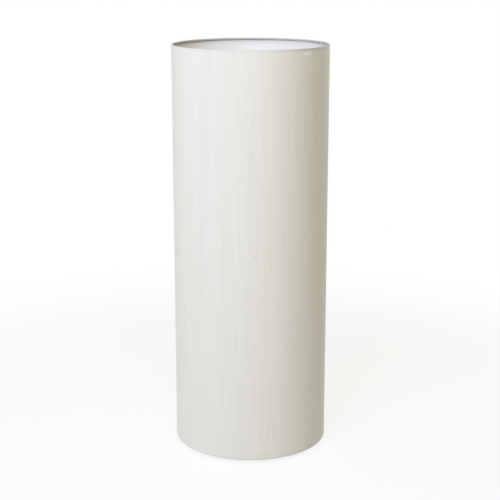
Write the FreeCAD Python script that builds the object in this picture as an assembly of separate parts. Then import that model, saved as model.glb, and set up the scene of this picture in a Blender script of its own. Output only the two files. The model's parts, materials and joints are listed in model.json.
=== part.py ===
import FreeCAD, Part
import math
import os

# Column floor lamp: a tall silk cylinder, open at the top, that stands almost to the floor and
# hides its own stand. The shade hangs on nothing: four spokes at its foot rest on a heavy round
# base plate, and their hub ring is centred by the wiring cover. A stem rises from the plate and
# carries two screw-in bulbs, one on its top and one on a side arm lower down.
#
# Millimetres, +Z up. The origin is on the floor, under the middle of the column. +Y is the back.
# The shade lifts straight up off the stand. Each bulb unscrews from its holder.

Vec = FreeCAD.Vector
UP = Vec(0, 0, 1)
ORIGIN = Vec(0, 0, 0)

# ---- Fits ------------------------------------------------------------------------------------
FIT = 0.05               # between fixed pieces that are glued, pressed or screwed together
RUNNING_GAP = 0.3        # between pieces that move apart
CENTRING_GAP = 1.0       # hub ring around the wiring cover
LIFT_CLEARANCE = 10.0    # hub ring past the lower bulb, as the shade is lifted
BULB_STEM_GAP = 10.0     # lower bulb beside the stem
OVERCUT = 1.0            # how far a cutting shape runs past the face that it cuts

# ---- Shade -----------------------------------------------------------------------------------
SHADE_DIAMETER = 380.0   # outside of the silk
SHADE_TOP = 1000.0       # rim above the floor
HEM_GAP = 8.0            # floor to hem
SILK = 0.4
LINING = 0.5
FRAME_WIRE = 4.0         # wire of the rings and the spokes
SEAM_ANGLE = 24.6        # degrees from +X, anticlockwise from above
SEAM_WIDTH = 12.0
SEAM_LAYERS = 2          # the lapped edge is turned under
SPOKE_COUNT = 4
SPOKE_START = 45.0       # degrees
SPOKE_RING_RUN = 9.5     # level run beside the bottom ring
SPOKE_EDGE_GAP = 14.0    # from the base plate's edge to the upper bend
SPOKE_BEND = 8.0

# ---- Base ------------------------------------------------------------------------------------
FOOT_DIAMETER = 24.0
FOOT_HEIGHT = 9.0
FOOT_EDGE = 2.0
FOOT_INSET = 20.0        # foot's centre to the plate's edge
FOOT_COUNT = 4
FOOT_START = 45.0        # degrees
FOOT_POCKET = 4.0        # depth of the pocket for the screw's head
FOOT_POCKET_GAP = 0.5    # around the head
FOOT_SCREW_SHORT = 1.0   # screw's end below the plate's face
PLATE_THICKNESS = 8.0
PLATE_INSET = 37.55      # plate's edge to the bottom ring's centre line
PLATE_EDGE = 1.5
COVER_HEIGHT = 30.0
COVER_WALL = 1.0
COVER_EDGE = 12.0
COVER_STEM_GAP = 0.2

# ---- Screws ----------------------------------------------------------------------------------
M3 = 3.0
M4 = 4.0
M3_HEAD = 5.5
M4_HEAD = 8.0
M3_HEAD_HEIGHT = 2.0
M4_HEAD_HEIGHT = 3.0
SCREW_EDGE = 0.8         # bevel around a head
SCREW_SLOT = 0.8
SCREW_SLOT_DEPTH = 0.8
THREAD_IN_PLATE = 6.0

# ---- Stem, arm and threaded tube -------------------------------------------------------------
STEM_DIAMETER = 16.0
STEM_WALL = 1.5
STEM_TOP = 560.0         # the upper holder stands here
LOWER_HOLDER_Z = 208.0   # the lower holder stands here, on the arm
ARM_THICKNESS = 3.0
ARM_WIDTH = 22.0
ARM_OVERHANG = 14.0      # past the stem's and the holder's centres
PLUG_HEIGHT = 10.0
UPPER_PLUG_HEIGHT = 12.0
COLLAR_DIAMETER = 26.0
COLLAR_HEIGHT = 10.0
GRUB_DIAMETER = 4.0
GRUB_RECESS = 0.5        # its end inside the collar's face
GRUB_SOCKET = 2.0        # across the flats
GRUB_SOCKET_DEPTH = 1.9
NIPPLE_DIAMETER = 10.0
NIPPLE_BORE = 7.0
NIPPLE_END = 1.8         # thread past its nut
NIPPLE_IN_CAP = 12.0     # thread inside a holder's cap
NUT_FLATS = 14.0
NUT_HEIGHT = 4.5
WASHER_DIAMETER = 20.0
WASHER_THICKNESS = 1.2

# ---- Wiring ----------------------------------------------------------------------------------
FLEX_DIAMETER = 4.5
FLEX_GAP = 0.7           # between the two leads in the stem
FLEX_BEND = 14.0
FLEX_END_GAP = 1.0       # a lead's end short of its socket's end
FLEX_JOG_BELOW = 12.0    # upper lead reaches the stem's centre this far below the upper plug
FLEX_JOG = 18.0          # height over which it does so
FLEX_JOG_BEND = 40.0
FLEX_EXIT_BEND = 8.0
FLEX_EXIT_DROP = 13.0    # lower lead's way out of the stem, under the lower collar
FLEX_IN_INSERT = 5.0
STEM_SLOT_SILL = 0.5     # slot at the stem's foot, above the lower plug
STEM_SLOT_ROOM = 7.0     # its height past the leads' own
EXIT_SLOT_ROOM = 1.5     # lower lead's slot, its width past the lead's own
EXIT_SLOT_RISE = 5.5     # its height past the lead's own
BLOCK_LENGTH = 30.0
BLOCK_DEPTH = 17.0
BLOCK_HEIGHT = 20.0
WIRE_OVER_PLUG = 2.0     # wire entries above the stem's lower plug
BLOCK_SOCKET = 4.0       # depth of a wire entry
BLOCK_POLES = 3
BLOCK_POLE_PITCH = 9.0
BLOCK_SCREW_ROWS = 8.0
TERMINAL_SCREW = 4.0
TERMINAL_SCREW_LENGTH = 5.0
TERMINAL_POCKET = 6.0
FIXING_POCKET = 10.0     # depth of the pocket for the block's own screw
CLAMP_LENGTH = 30.0
CLAMP_WIDTH = 8.0
CLAMP_HEIGHT = 7.0
CLAMP_CHANNEL = 3.8      # radius over the mains lead
CLAMP_ROOF = 1.0
CLAMP_SCREW_SPACING = 21.0
GROMMET_BORE = 7.0
GROMMET_HOLE = 14.0
GROMMET_FLANGE = 18.0
GROMMET_LIP = 1.5
GROMMET_EDGE_GAP = 5.0
GROMMET_CLAMP_GAP = 0.5
CLAMP_BLOCK_GAP = 3.5
EARTH_X = -50.0
EARTH_TAG = 0.8
EARTH_TAG_RING = 9.0
EARTH_BARREL = 3.8
EARTH_BARREL_LENGTH = 7.0
EARTH_TAIL = 9.0         # screw's centre to the barrel
EARTH_TAIL_WIDTH = 3.6
EARTH_TAIL_LAP = 1.0     # tail's run into the barrel and the ring
EARTH_WIRE = 2.0
EARTH_WIRE_BEND = 5.0
EARTH_WIRE_RUN = 5.0     # level run out of the barrel
EARTH_WIRE_ENTRY = 6.0   # level run into the block

# ---- Bulb and holder, an E27 fitting ---------------------------------------------------------
THREAD_PITCH = 25.4 / 7
CAP_CORE = 24.2          # bulb's cap between the ridges
CAP_WALL = 1.1
CAP_RIDGE = 1.0          # radius of the rolled ridge
CAP_RIDGE_TURNS = 3.2
CAP_RIDGE_START = 7.5    # first ridge above the bulb's tip
SHELL_BORE = 27.0        # holder's shell between the ridges
SHELL_WALL = 0.7
SHELL_RIDGE = 0.85
SHELL_RIDGE_TURNS = 4.5
SHELL_RIDGE_START = 27.0 # first ridge above the holder's foot
BULB_DIAMETER = 60.0
BULB_LENGTH = 106.0
BULB_CAP_LENGTH = 24.0
BULB_HOUSING_LENGTH = 36.0
BULB_HOUSING_NECK = 27.0
BULB_WALL = 1.2
BULB_TIP_DIAMETER = 9.6
BULB_TIP_HEIGHT = 2.2
BULB_TIP_FLAT = 4.8      # diameter of its flat end
BULB_TIP_RIM = 0.88      # height of its straight rim
INSULATOR_TOP = 8.0
INSULATOR_LEDGE = 0.2    # around the tip
INSULATOR_RIM = 0.5      # height of its cone's foot inside the cap
CAP_BOTTOM = 4.5
HOUSING_PLUG = 10.0      # housing's neck inside the cap
HOUSING_WAIST = 0.8      # how far the flare is drawn in at its middle
HOUSING_INNER_WAIST = 1.0
HOUSING_NECK_RUN = 2.0
BOARD_THICKNESS = 1.6
BOARD_DEPTH = 3.6        # board's underside below the housing's top
BOARD_LEDGE = 1.5
HOLDER_DIAMETER = 41.0
HOLDER_CAP_HEIGHT = 30.0
HOLDER_HEIGHT = 54.0
HOLDER_CONE = 10.0
HOLDER_FOOT = 22.0
HOLDER_WALL = 2.0
HOLDER_FLOOR = 3.0
HOLDER_CONE_WALL = 3.85  # level thickness of the cone at the floor
HOLDER_BOSS_WALL = 3.45
HOLDER_SCREW_X = 11.5
HOLDER_SCREW_HEAD = 5.0
HOLDER_SCREW_HEAD_HEIGHT = 1.8
HOLDER_SCREW_LENGTH = 6.0
HOLDER_SCREW_ROOM = 1.0  # hole past the screw's end
FLANGE_SEAT = 2.0        # ledge in the cap under the insert's flange
INSERT_BOTTOM = 13.0
INSERT_FLANGE = 22.0
INSERT_FLANGE_HEIGHT = 2.5
INSERT_DIAMETER = 29.0
SKIRT_DIAMETER = 40.0
SKIRT_BORE = 31.0
SKIRT_LIP = 1.0
SHELL_TOP = 47.0
LEAF_TOP = 28.3          # centre contact above the holder's foot
LEAF_THICKNESS = 0.5
LEAF_WIDTH = 6.0
LEAF_TOE = 3.0           # its free end, past the holder's centre
LEAF_KNEE = 2.5          # its upper bend, before the centre
LEAF_HEEL = 5.5          # its lower bend, before the centre
LEAF_END = 9.0           # its riveted end, before the centre
LEAF_MITRE = 0.25        # how far a bend's outer corner lies behind its inner one

# ---- Worked out from the values above --------------------------------------------------------
shade_radius = SHADE_DIAMETER / 2
roll_radius = FRAME_WIRE / 2 + FIT + SILK
ring_radius = shade_radius - roll_radius
top_ring_z = SHADE_TOP - roll_radius
bottom_ring_z = HEM_GAP + roll_radius
lining_radius = shade_radius - SILK - FIT

stem_radius = STEM_DIAMETER / 2
stem_bore = stem_radius - STEM_WALL
bulb_radius = BULB_DIAMETER / 2
lamp_offset = stem_radius + BULB_STEM_GAP + bulb_radius
hub_inner_radius = lamp_offset + bulb_radius + LIFT_CLEARANCE
hub_radius = hub_inner_radius + FRAME_WIRE / 2
cover_radius = hub_inner_radius - CENTRING_GAP
cover_bore_radius = cover_radius - COVER_WALL

plate_bottom = FOOT_HEIGHT
plate_top = plate_bottom + PLATE_THICKNESS
plate_radius = ring_radius - PLATE_INSET
foot_circle = plate_radius - FOOT_INSET
cover_top = plate_top + COVER_HEIGHT
spoke_z = plate_top + RUNNING_GAP + FRAME_WIRE / 2

arm_bottom = LOWER_HOLDER_Z - ARM_THICKNESS
nipple_radius = NIPPLE_DIAMETER / 2
screwed_radius = nipple_radius + FIT
plug_radius = stem_bore - FIT
collar_bore = stem_radius + FIT
collar_levels = {
    "cover_collar": cover_top,
    "arm_lower_collar": arm_bottom - COLLAR_HEIGHT,
    "arm_upper_collar": LOWER_HOLDER_Z,
}

grommet_y = cover_bore_radius - GROMMET_FLANGE / 2 - GROMMET_EDGE_GAP
clamp_y = grommet_y - GROMMET_FLANGE / 2 - GROMMET_CLAMP_GAP - CLAMP_WIDTH / 2
block_y = clamp_y - CLAMP_WIDTH / 2 - CLAMP_BLOCK_GAP - BLOCK_DEPTH / 2
block_front = block_y - BLOCK_DEPTH / 2
plug_top = plate_top + PLUG_HEIGHT
upper_plug_bottom = STEM_TOP - UPPER_PLUG_HEIGHT
wire_z = plug_top + WIRE_OVER_PLUG
exit_z = arm_bottom - COLLAR_HEIGHT - FLEX_EXIT_DROP
flex_spacing = FLEX_DIAMETER + FLEX_GAP

tip_z = LEAF_TOP + RUNNING_GAP          # bulb's tip above the holder's foot
globe_centre = BULB_LENGTH - bulb_radius
housing_top = BULB_CAP_LENGTH + BULB_HOUSING_LENGTH
housing_top_radius = math.sqrt(bulb_radius ** 2 - (globe_centre - housing_top) ** 2)
cap_bore = CAP_CORE / 2 - CAP_WALL
insert_top = INSERT_FLANGE + INSERT_FLANGE_HEIGHT
neck_radius = HOLDER_DIAMETER / 2 - HOLDER_WALL   # bore that takes the insert and the skirt

HOLDERS = {
    "upper": Vec(0, 0, STEM_TOP),
    "lower": Vec(-lamp_offset, 0, LOWER_HOLDER_Z),
}


# ---- Shapes that several pieces use ----------------------------------------------------------
def arc_about(centre_r, centre_z, radius, start, end):
    """An arc step for lathe: the middle and the end of an arc, with its angles in degrees."""
    middle = math.radians((start + end) / 2)
    last = math.radians(end)
    return (centre_r + radius * math.cos(middle), centre_z + radius * math.sin(middle),
            centre_r + radius * math.cos(last), centre_z + radius * math.sin(last))


def outline(steps):
    """Closed wire in the XZ plane. A step is a point to go straight to, or an arc's middle and end."""
    def point(r, z):
        return Vec(r, 0, z)

    edges = []
    first = here = point(*steps[0])
    for step in steps[1:]:
        there = point(*step[-2:])
        if len(step) == 4:
            edges.append(Part.Arc(here, point(*step[:2]), there).toShape())
        elif here.distanceToPoint(there) > 1e-9:
            edges.append(Part.LineSegment(here, there).toShape())
        here = there
    if here.distanceToPoint(first) > 1e-9:
        edges.append(Part.LineSegment(here, first).toShape())
    return Part.Wire(edges)


def lathe(*steps):
    """Solid turned about the Z axis from (radius, height) steps."""
    return Part.Face(outline(steps)).revolve(ORIGIN, UP, 360)


def tube(outer, inner, bottom, top, at=ORIGIN):
    """Round tube or washer between two heights, from its two radii."""
    solid = lathe((inner, bottom), (outer, bottom), (outer, top), (inner, top))
    solid.translate(at)
    return solid


def rod(radius, bottom, top, x=0.0, y=0.0):
    """Upright round bar between two heights."""
    return Part.makeCylinder(radius, top - bottom, Vec(x, y, bottom))


def block(x, y, z):
    """Box from three (low, high) pairs."""
    return Part.makeBox(x[1] - x[0], y[1] - y[0], z[1] - z[0], Vec(x[0], y[0], z[0]))


def turned(shape, degrees):
    """Copy of a shape turned about the Z axis."""
    copy = shape.copy()
    copy.rotate(ORIGIN, UP, degrees)
    return copy


def moved(shape, place):
    """Copy of a shape moved to a place."""
    copy = shape.copy()
    copy.translate(place)
    return copy


def around(count, start=0.0):
    """Angles of equal parts of a turn, in degrees."""
    return [start + 360.0 * k / count for k in range(count)]


def ring_of_wire(radius, z, wire):
    """Closed ring of round wire."""
    return Part.makeTorus(radius, wire / 2, Vec(0, 0, z), UP)


def bent_path(points, radii):
    """Wire of straight runs joined by tangent arcs, one radius for each inner point."""
    edges = []
    here = points[0]
    for before, corner, after, radius in zip(points, points[1:], points[2:], radii):
        back = (before - corner).normalize()
        ahead = (after - corner).normalize()
        half_turn = (math.pi - back.getAngle(ahead)) / 2
        start = corner + back * (radius * math.tan(half_turn))
        end = corner + ahead * (radius * math.tan(half_turn))
        inwards = (back + ahead).normalize()
        middle = corner + inwards * (radius / math.cos(half_turn) - radius)
        edges.append(Part.LineSegment(here, start).toShape())
        edges.append(Part.Arc(start, middle, end).toShape())
        here = end
    edges.append(Part.LineSegment(here, points[-1]).toShape())
    return Part.Wire(edges)


def bent_rod(points, radii, diameter):
    """Round bar or lead along a bent path."""
    path = bent_path(points, radii)
    section = Part.Circle(points[0], points[1] - points[0], diameter / 2)
    return path.makePipeShell([Part.Wire([section.toShape()])], True, False)


def screw(diameter, head_diameter, head_height, length):
    """Slotted screw that points down: its head's underside is at height 0."""
    radius = head_diameter / 2
    head = lathe((0, 0), (radius, 0), (radius, head_height - SCREW_EDGE),
                 (radius - SCREW_EDGE, head_height), (0, head_height))
    slot = block((-head_diameter, head_diameter), (-SCREW_SLOT / 2, SCREW_SLOT / 2),
                 (head_height - SCREW_SLOT_DEPTH, head_height + OVERCUT))
    shank = rod(diameter / 2, -length, 0)
    return head.cut(slot).fuse(shank).removeSplitter()


def helical_ridge(radius, ridge_radius, bottom, turns, angle):
    """Rolled ridge of a right-hand thread, which starts at an angle in degrees."""
    helix = Part.makeLongHelix(THREAD_PITCH, turns * THREAD_PITCH, radius)
    climb = Vec(0, 1, THREAD_PITCH / (2 * math.pi * radius))
    section = Part.Circle(Vec(radius, 0, 0), climb, ridge_radius).toShape()
    ridge = Part.Wire(helix.Edges).makePipeShell([Part.Wire([section])], True, True)
    return moved(turned(ridge, angle), Vec(0, 0, bottom))


# ---- Shade -----------------------------------------------------------------------------------
def rolled_edge(ring_z, sign):
    """Steps of the silk's fold over a ring: out over the ring, down inside it and back below it.

    The fold starts on the outside face and ends on the inside face. sign is 1 at the rim, -1 at
    the hem.
    """
    inner = roll_radius - SILK
    tail = shade_radius - SILK - FIT
    return [
        arc_about(ring_radius, ring_z, roll_radius, 0, sign * 135),
        arc_about(ring_radius, ring_z, roll_radius, sign * 135, sign * 270),
        (tail, ring_z - sign * roll_radius),
        (tail, ring_z - sign * inner),
        (ring_radius, ring_z - sign * inner),
        arc_about(ring_radius, ring_z, inner, sign * 270, sign * 135),
        arc_about(ring_radius, ring_z, inner, sign * 135, 0),
    ]


def spoke_notch(angle):
    """Room for a spoke through the inner half of the hem's fold."""
    half_width = FRAME_WIRE / 2 + RUNNING_GAP
    inside = ring_radius - roll_radius - OVERCUT
    notch = block((inside, ring_radius - RUNNING_GAP), (-half_width, half_width),
                  (HEM_GAP - OVERCUT, bottom_ring_z + roll_radius + OVERCUT))
    return turned(notch, angle)


def reversed_fold(steps):
    """The same fold walked from the inside face to the outside face."""
    start = (shade_radius, bottom_ring_z)
    ends = [start] + [step[-2:] for step in steps]
    walked = []
    for step, end in zip(reversed(steps), reversed(ends[:-1])):
        walked.append(step[:2] + end if len(step) == 4 else end)
    return walked


def shade_silk():
    """Silk cylinder, rolled over the ring at each end."""
    top = rolled_edge(top_ring_z, 1)
    hem = rolled_edge(bottom_ring_z, -1)
    silk = lathe((shade_radius, bottom_ring_z), (shade_radius, top_ring_z), *top,
                 (shade_radius - SILK, bottom_ring_z), *reversed_fold(hem))
    for angle in around(SPOKE_COUNT, SPOKE_START):
        silk = silk.cut(spoke_notch(angle))
    return silk


def shade_lining():
    """Stiff white lining behind the silk, between the two folds."""
    bottom = bottom_ring_z + roll_radius + FIT
    top = top_ring_z - roll_radius - FIT
    return tube(lining_radius, lining_radius - LINING, bottom, top)


def shade_seam():
    """Upright lap where the silk's two edges are glued, with the outer edge turned under."""
    inner = shade_radius + FIT
    strip = tube(inner + SEAM_LAYERS * SILK, inner, bottom_ring_z, top_ring_z)
    half = SEAM_WIDTH / 2
    keep = block((0, shade_radius * 2), (-half, half), (0, SHADE_TOP))
    return turned(strip.common(keep), SEAM_ANGLE)


def spoke(angle):
    """Bent wire from the bottom ring in to the hub ring, shaped to the wires that it is welded to."""
    points = [
        Vec(ring_radius, 0, bottom_ring_z),
        Vec(ring_radius - SPOKE_RING_RUN, 0, bottom_ring_z),
        Vec(plate_radius + SPOKE_EDGE_GAP, 0, spoke_z),
        Vec(hub_radius, 0, spoke_z),
    ]
    wire = bent_rod(points, [SPOKE_BEND] * 2, FRAME_WIRE)
    for radius, z in ((ring_radius, bottom_ring_z), (hub_radius, spoke_z)):
        wire = wire.cut(ring_of_wire(radius, z, FRAME_WIRE + 2 * FIT))
    wire = max(wire.Solids, key=lambda solid: solid.Volume)
    return turned(wire, angle)


def shade_pieces():
    """The shade, which lifts off as one."""
    return {
        "shade_silk": [shade_silk()],
        "shade_lining": [shade_lining()],
        "shade_seam": [shade_seam()],
        "shade_top_ring": [ring_of_wire(ring_radius, top_ring_z, FRAME_WIRE)],
        "shade_bottom_ring": [ring_of_wire(ring_radius, bottom_ring_z, FRAME_WIRE)],
        "shade_spokes": [spoke(angle) for angle in around(SPOKE_COUNT, SPOKE_START)],
        "shade_hub_ring": [ring_of_wire(hub_radius, spoke_z, FRAME_WIRE)],
    }


# ---- Base ------------------------------------------------------------------------------------
def foot_places():
    """Centres of the feet, seen from above."""
    return [turned(Part.Vertex(foot_circle, 0, 0), angle).Point
            for angle in around(FOOT_COUNT, FOOT_START)]


def foot():
    """Rubber foot with a pocket under it for its screw."""
    pocket = M4_HEAD / 2 + FOOT_POCKET_GAP
    outer = FOOT_DIAMETER / 2
    return lathe((pocket, 0), (outer - FOOT_EDGE, 0),
                 arc_about(outer - FOOT_EDGE, FOOT_EDGE, FOOT_EDGE, -90, 0),
                 (outer, FOOT_HEIGHT), (M4 / 2 + FIT, FOOT_HEIGHT), (M4 / 2 + FIT, FOOT_POCKET),
                 (pocket, FOOT_POCKET))


def foot_screw():
    """Screw up through a foot into the plate, head down."""
    length = plate_top - FOOT_POCKET - FOOT_SCREW_SHORT
    pointing_up = screw(M4, M4_HEAD, M4_HEAD_HEIGHT, length)
    pointing_up.rotate(ORIGIN, Vec(1, 0, 0), 180)
    return moved(pointing_up, Vec(0, 0, FOOT_POCKET))


def clamp_screw_places():
    """Centres of the cord clamp's two screws."""
    half = CLAMP_SCREW_SPACING / 2
    return [Vec(x, clamp_y, 0) for x in (-half, half)]


def block_screw_place():
    """Centre of the terminal block's fixing screw, between two poles."""
    return Vec(BLOCK_POLE_PITCH / 2, block_y, 0)


def base_plate():
    """Heavy round steel plate with its edges eased and its holes drilled."""
    edge = PLATE_EDGE
    plate = lathe((0, plate_bottom), (plate_radius - edge, plate_bottom),
                  arc_about(plate_radius - edge, plate_bottom + edge, edge, -90, 0),
                  (plate_radius, plate_top - edge),
                  arc_about(plate_radius - edge, plate_top - edge, edge, 0, 90),
                  (0, plate_top))
    holes = [(Vec(0, 0, 0), screwed_radius),
             (Vec(0, grommet_y, 0), GROMMET_HOLE / 2),
             (Vec(EARTH_X, block_y, 0), M4 / 2 + FIT),
             (block_screw_place(), M3 / 2 + FIT)]
    holes += [(place, M3 / 2 + FIT) for place in clamp_screw_places()]
    holes += [(place, M4 / 2 + FIT) for place in foot_places()]
    for place, radius in holes:
        plate = plate.cut(rod(radius, 0, plate_top + OVERCUT, place.x, place.y))
    return plate


def base_cover():
    """Spun steel cover over the wiring, held down by a collar on the stem."""
    hole = stem_radius + COVER_STEM_GAP
    corner = (cover_radius - COVER_EDGE, cover_top - COVER_EDGE)
    return lathe((cover_radius, plate_top), (cover_radius, corner[1]),
                 arc_about(*corner, COVER_EDGE, 0, 90),
                 (hole, cover_top), (hole, cover_top - COVER_WALL),
                 (corner[0], cover_top - COVER_WALL),
                 arc_about(*corner, COVER_EDGE - COVER_WALL, 90, 0),
                 (cover_bore_radius, plate_top))


def base_pieces():
    """The plate, what it stands on and the cover over its wiring."""
    return {
        "base_plate": [base_plate()],
        "base_feet": [moved(foot(), place) for place in foot_places()],
        "foot_screws": [moved(foot_screw(), place) for place in foot_places()],
        "base_cover": [base_cover()],
    }


# ---- Stem and arm ----------------------------------------------------------------------------
def stem_tube():
    """Steel tube with a slot at its foot for the leads and one under the arm for the lower lead."""
    stem = tube(stem_radius, stem_bore, plate_top, STEM_TOP)
    half = (flex_spacing + FLEX_DIAMETER) / 2 + RUNNING_GAP
    sill = plug_top + STEM_SLOT_SILL
    stem = stem.cut(block((-half, half), (0, STEM_DIAMETER),
                          (sill, sill + FLEX_DIAMETER + STEM_SLOT_ROOM)))
    half_width = (FLEX_DIAMETER + EXIT_SLOT_ROOM) / 2
    half_height = (FLEX_DIAMETER + EXIT_SLOT_RISE) / 2
    return stem.cut(block((-STEM_DIAMETER, 0), (-half_width, half_width),
                          (exit_z - half_height, exit_z + half_height)))


def collar(bottom):
    """Set collar with the hole for its grub screw, towards +X."""
    ring = tube(COLLAR_DIAMETER / 2, collar_bore, bottom, bottom + COLLAR_HEIGHT)
    hole = Part.makeCylinder(GRUB_DIAMETER / 2 + FIT, COLLAR_DIAMETER,
                             Vec(0, 0, bottom + COLLAR_HEIGHT / 2), Vec(1, 0, 0))
    return ring.cut(hole)


def grub_screw(collar_bottom):
    """Grub screw from the stem's face to just inside the collar's, with its hexagon socket."""
    start = collar_bore
    length = COLLAR_DIAMETER / 2 - start - GRUB_RECESS
    screw_z = collar_bottom + COLLAR_HEIGHT / 2
    body = Part.makeCylinder(GRUB_DIAMETER / 2, length, Vec(start, 0, screw_z), Vec(1, 0, 0))
    socket = hexagon(GRUB_SOCKET, GRUB_SOCKET_DEPTH + OVERCUT)
    socket.rotate(ORIGIN, Vec(0, 1, 0), 90)
    return body.cut(moved(socket, Vec(start + length - GRUB_SOCKET_DEPTH, 0, screw_z)))


def hexagon(flats, height):
    """Upright hexagonal bar from height 0, given its width across flats."""
    corner = flats / math.sqrt(3)
    points = [Vec(corner * math.cos(math.radians(a)), corner * math.sin(math.radians(a)), 0)
              for a in around(6)]
    return Part.Face(Part.makePolygon(points + points[:1])).extrude(Vec(0, 0, height))


def lamp_arm():
    """Flat bar clamped between two collars, with round ends and its two holes."""
    half = ARM_WIDTH / 2
    ends = (-lamp_offset - ARM_OVERHANG + half, ARM_OVERHANG - half)
    bar = block(ends, (-half, half), (arm_bottom, LOWER_HOLDER_Z))
    for x in ends:
        bar = bar.fuse(rod(half, arm_bottom, LOWER_HOLDER_Z, x))
    bar = bar.removeSplitter()
    for x, radius in ((0.0, stem_radius + 2 * FIT), (-lamp_offset, nipple_radius + 2 * FIT)):
        bar = bar.cut(rod(radius, arm_bottom - OVERCUT, LOWER_HOLDER_Z + OVERCUT, x))
    return bar


def nut_and_washer(face_z, at):
    """Washer and thin nut that pull up against a face from below."""
    washer_bottom = face_z - WASHER_THICKNESS
    washer = tube(WASHER_DIAMETER / 2, nipple_radius + 2 * FIT, washer_bottom, face_z, at)
    nut = hexagon(NUT_FLATS, NUT_HEIGHT).cut(rod(screwed_radius, -OVERCUT, NUT_HEIGHT + OVERCUT))
    return washer, moved(nut, at + Vec(0, 0, washer_bottom - NUT_HEIGHT))


def nipple(bottom, top, at=ORIGIN):
    """Threaded tube that a lead can pass through."""
    return tube(nipple_radius, NIPPLE_BORE / 2, bottom, top, at)


def stem_pieces():
    """The stem with its plugs and collars, the arm, and the threaded tubes that join them."""
    under_nut = WASHER_THICKNESS + NUT_HEIGHT + NIPPLE_END
    arm_place = Vec(-lamp_offset, 0, 0)
    nut_places = ((plate_bottom, ORIGIN), (arm_bottom, arm_place))
    washers, nuts = zip(*[nut_and_washer(face, at) for face, at in nut_places])
    pieces = {
        "stem_tube": [stem_tube()],
        "stem_lower_plug": [tube(plug_radius, screwed_radius, plate_top, plug_top)],
        "stem_upper_plug": [tube(plug_radius, screwed_radius, upper_plug_bottom, STEM_TOP)],
        "lower_nipple": [nipple(plate_bottom - under_nut, plug_top)],
        "upper_nipple": [nipple(upper_plug_bottom, STEM_TOP + NIPPLE_IN_CAP)],
        "arm_nipple": [nipple(arm_bottom - under_nut, LOWER_HOLDER_Z + NIPPLE_IN_CAP, arm_place)],
        "nipple_washers": list(washers),
        "nipple_nuts": list(nuts),
        "lamp_arm": [lamp_arm()],
        "grub_screws": [grub_screw(level) for level in collar_levels.values()],
    }
    pieces.update({name: [collar(level)] for name, level in collar_levels.items()})
    return pieces


# ---- Wiring ----------------------------------------------------------------------------------
def terminal_places():
    """Centres of the clamping screws, two for each pole."""
    half_row = BLOCK_SCREW_ROWS / 2
    middle = (BLOCK_POLES - 1) / 2
    return [Vec((pole - middle) * BLOCK_POLE_PITCH, block_y + row, 0)
            for pole in range(BLOCK_POLES) for row in (-half_row, half_row)]


def terminal_block():
    """Plastic block that joins the mains lead to the two leads in the stem."""
    top = plate_top + BLOCK_HEIGHT
    half = BLOCK_LENGTH / 2
    back = block_y + BLOCK_DEPTH / 2
    body = block((-half, half), (block_front, back), (plate_top, top))
    leads = (flex_spacing + FLEX_DIAMETER) / 2 + RUNNING_GAP
    lead_half = FLEX_DIAMETER / 2 + RUNNING_GAP
    body = body.cut(block((-leads, leads), (block_front - OVERCUT, block_front + BLOCK_SOCKET),
                          (wire_z - lead_half, wire_z + lead_half)))
    mains = Part.makeCylinder(GROMMET_BORE / 2, BLOCK_SOCKET + OVERCUT,
                              Vec(0, back - BLOCK_SOCKET, wire_z), Vec(0, 1, 0))
    earth = Part.makeCylinder(EARTH_WIRE / 2 + RUNNING_GAP, BLOCK_SOCKET + OVERCUT,
                              Vec(-half - OVERCUT, block_y, wire_z), Vec(1, 0, 0))
    body = body.cut(mains).cut(earth)
    for place in terminal_places():
        body = body.cut(rod(TERMINAL_SCREW / 2 + FIT, top - TERMINAL_POCKET, top + OVERCUT,
                            place.x, place.y))
    fixing = block_screw_place()
    body = body.cut(rod(M3_HEAD / 2 + FIT, top - FIXING_POCKET, top + OVERCUT, fixing.x, fixing.y))
    return body.cut(rod(M3 / 2 + FIT, plate_top - OVERCUT, top, fixing.x, fixing.y))


def terminal_screws():
    """Slotted screws down in their pockets."""
    bottom = plate_top + BLOCK_HEIGHT - TERMINAL_POCKET
    slot = block((-TERMINAL_SCREW, TERMINAL_SCREW), (-SCREW_SLOT / 2, SCREW_SLOT / 2),
                 (TERMINAL_SCREW_LENGTH - SCREW_SLOT_DEPTH, TERMINAL_SCREW_LENGTH + OVERCUT))
    body = rod(TERMINAL_SCREW / 2, 0, TERMINAL_SCREW_LENGTH).cut(slot)
    return [moved(body, place + Vec(0, 0, bottom)) for place in terminal_places()]


def block_screw():
    """Screw that holds the terminal block to the plate."""
    seat = plate_top + BLOCK_HEIGHT - FIXING_POCKET
    length = seat - plate_top + THREAD_IN_PLATE
    body = screw(M3, M3_HEAD, M3_HEAD_HEIGHT, length)
    return moved(body, block_screw_place() + Vec(0, 0, seat))


def cord_clamp():
    """Plastic saddle over the mains lead's way in."""
    half = CLAMP_LENGTH / 2
    bar = block((-half, half), (clamp_y - CLAMP_WIDTH / 2, clamp_y + CLAMP_WIDTH / 2),
                (plate_top, plate_top + CLAMP_HEIGHT))
    spring_line = plate_top + CLAMP_HEIGHT - CLAMP_CHANNEL - CLAMP_ROOF
    channel = Part.makeCylinder(CLAMP_CHANNEL, CLAMP_WIDTH * 2,
                                Vec(0, clamp_y - CLAMP_WIDTH, spring_line), Vec(0, 1, 0))
    way_in = block((-CLAMP_CHANNEL, CLAMP_CHANNEL), (clamp_y - CLAMP_WIDTH, clamp_y + CLAMP_WIDTH),
                   (plate_top - OVERCUT, spring_line))
    bar = bar.cut(channel.fuse(way_in))
    for place in clamp_screw_places():
        bar = bar.cut(rod(M3 / 2 + FIT, plate_top - OVERCUT, plate_top + CLAMP_HEIGHT + OVERCUT,
                          place.x, place.y))
    return bar


def clamp_screws():
    """The saddle's two screws."""
    seat = plate_top + CLAMP_HEIGHT
    body = screw(M3, M3_HEAD, M3_HEAD_HEIGHT, CLAMP_HEIGHT + THREAD_IN_PLATE)
    return [moved(body, place + Vec(0, 0, seat)) for place in clamp_screw_places()]


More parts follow.
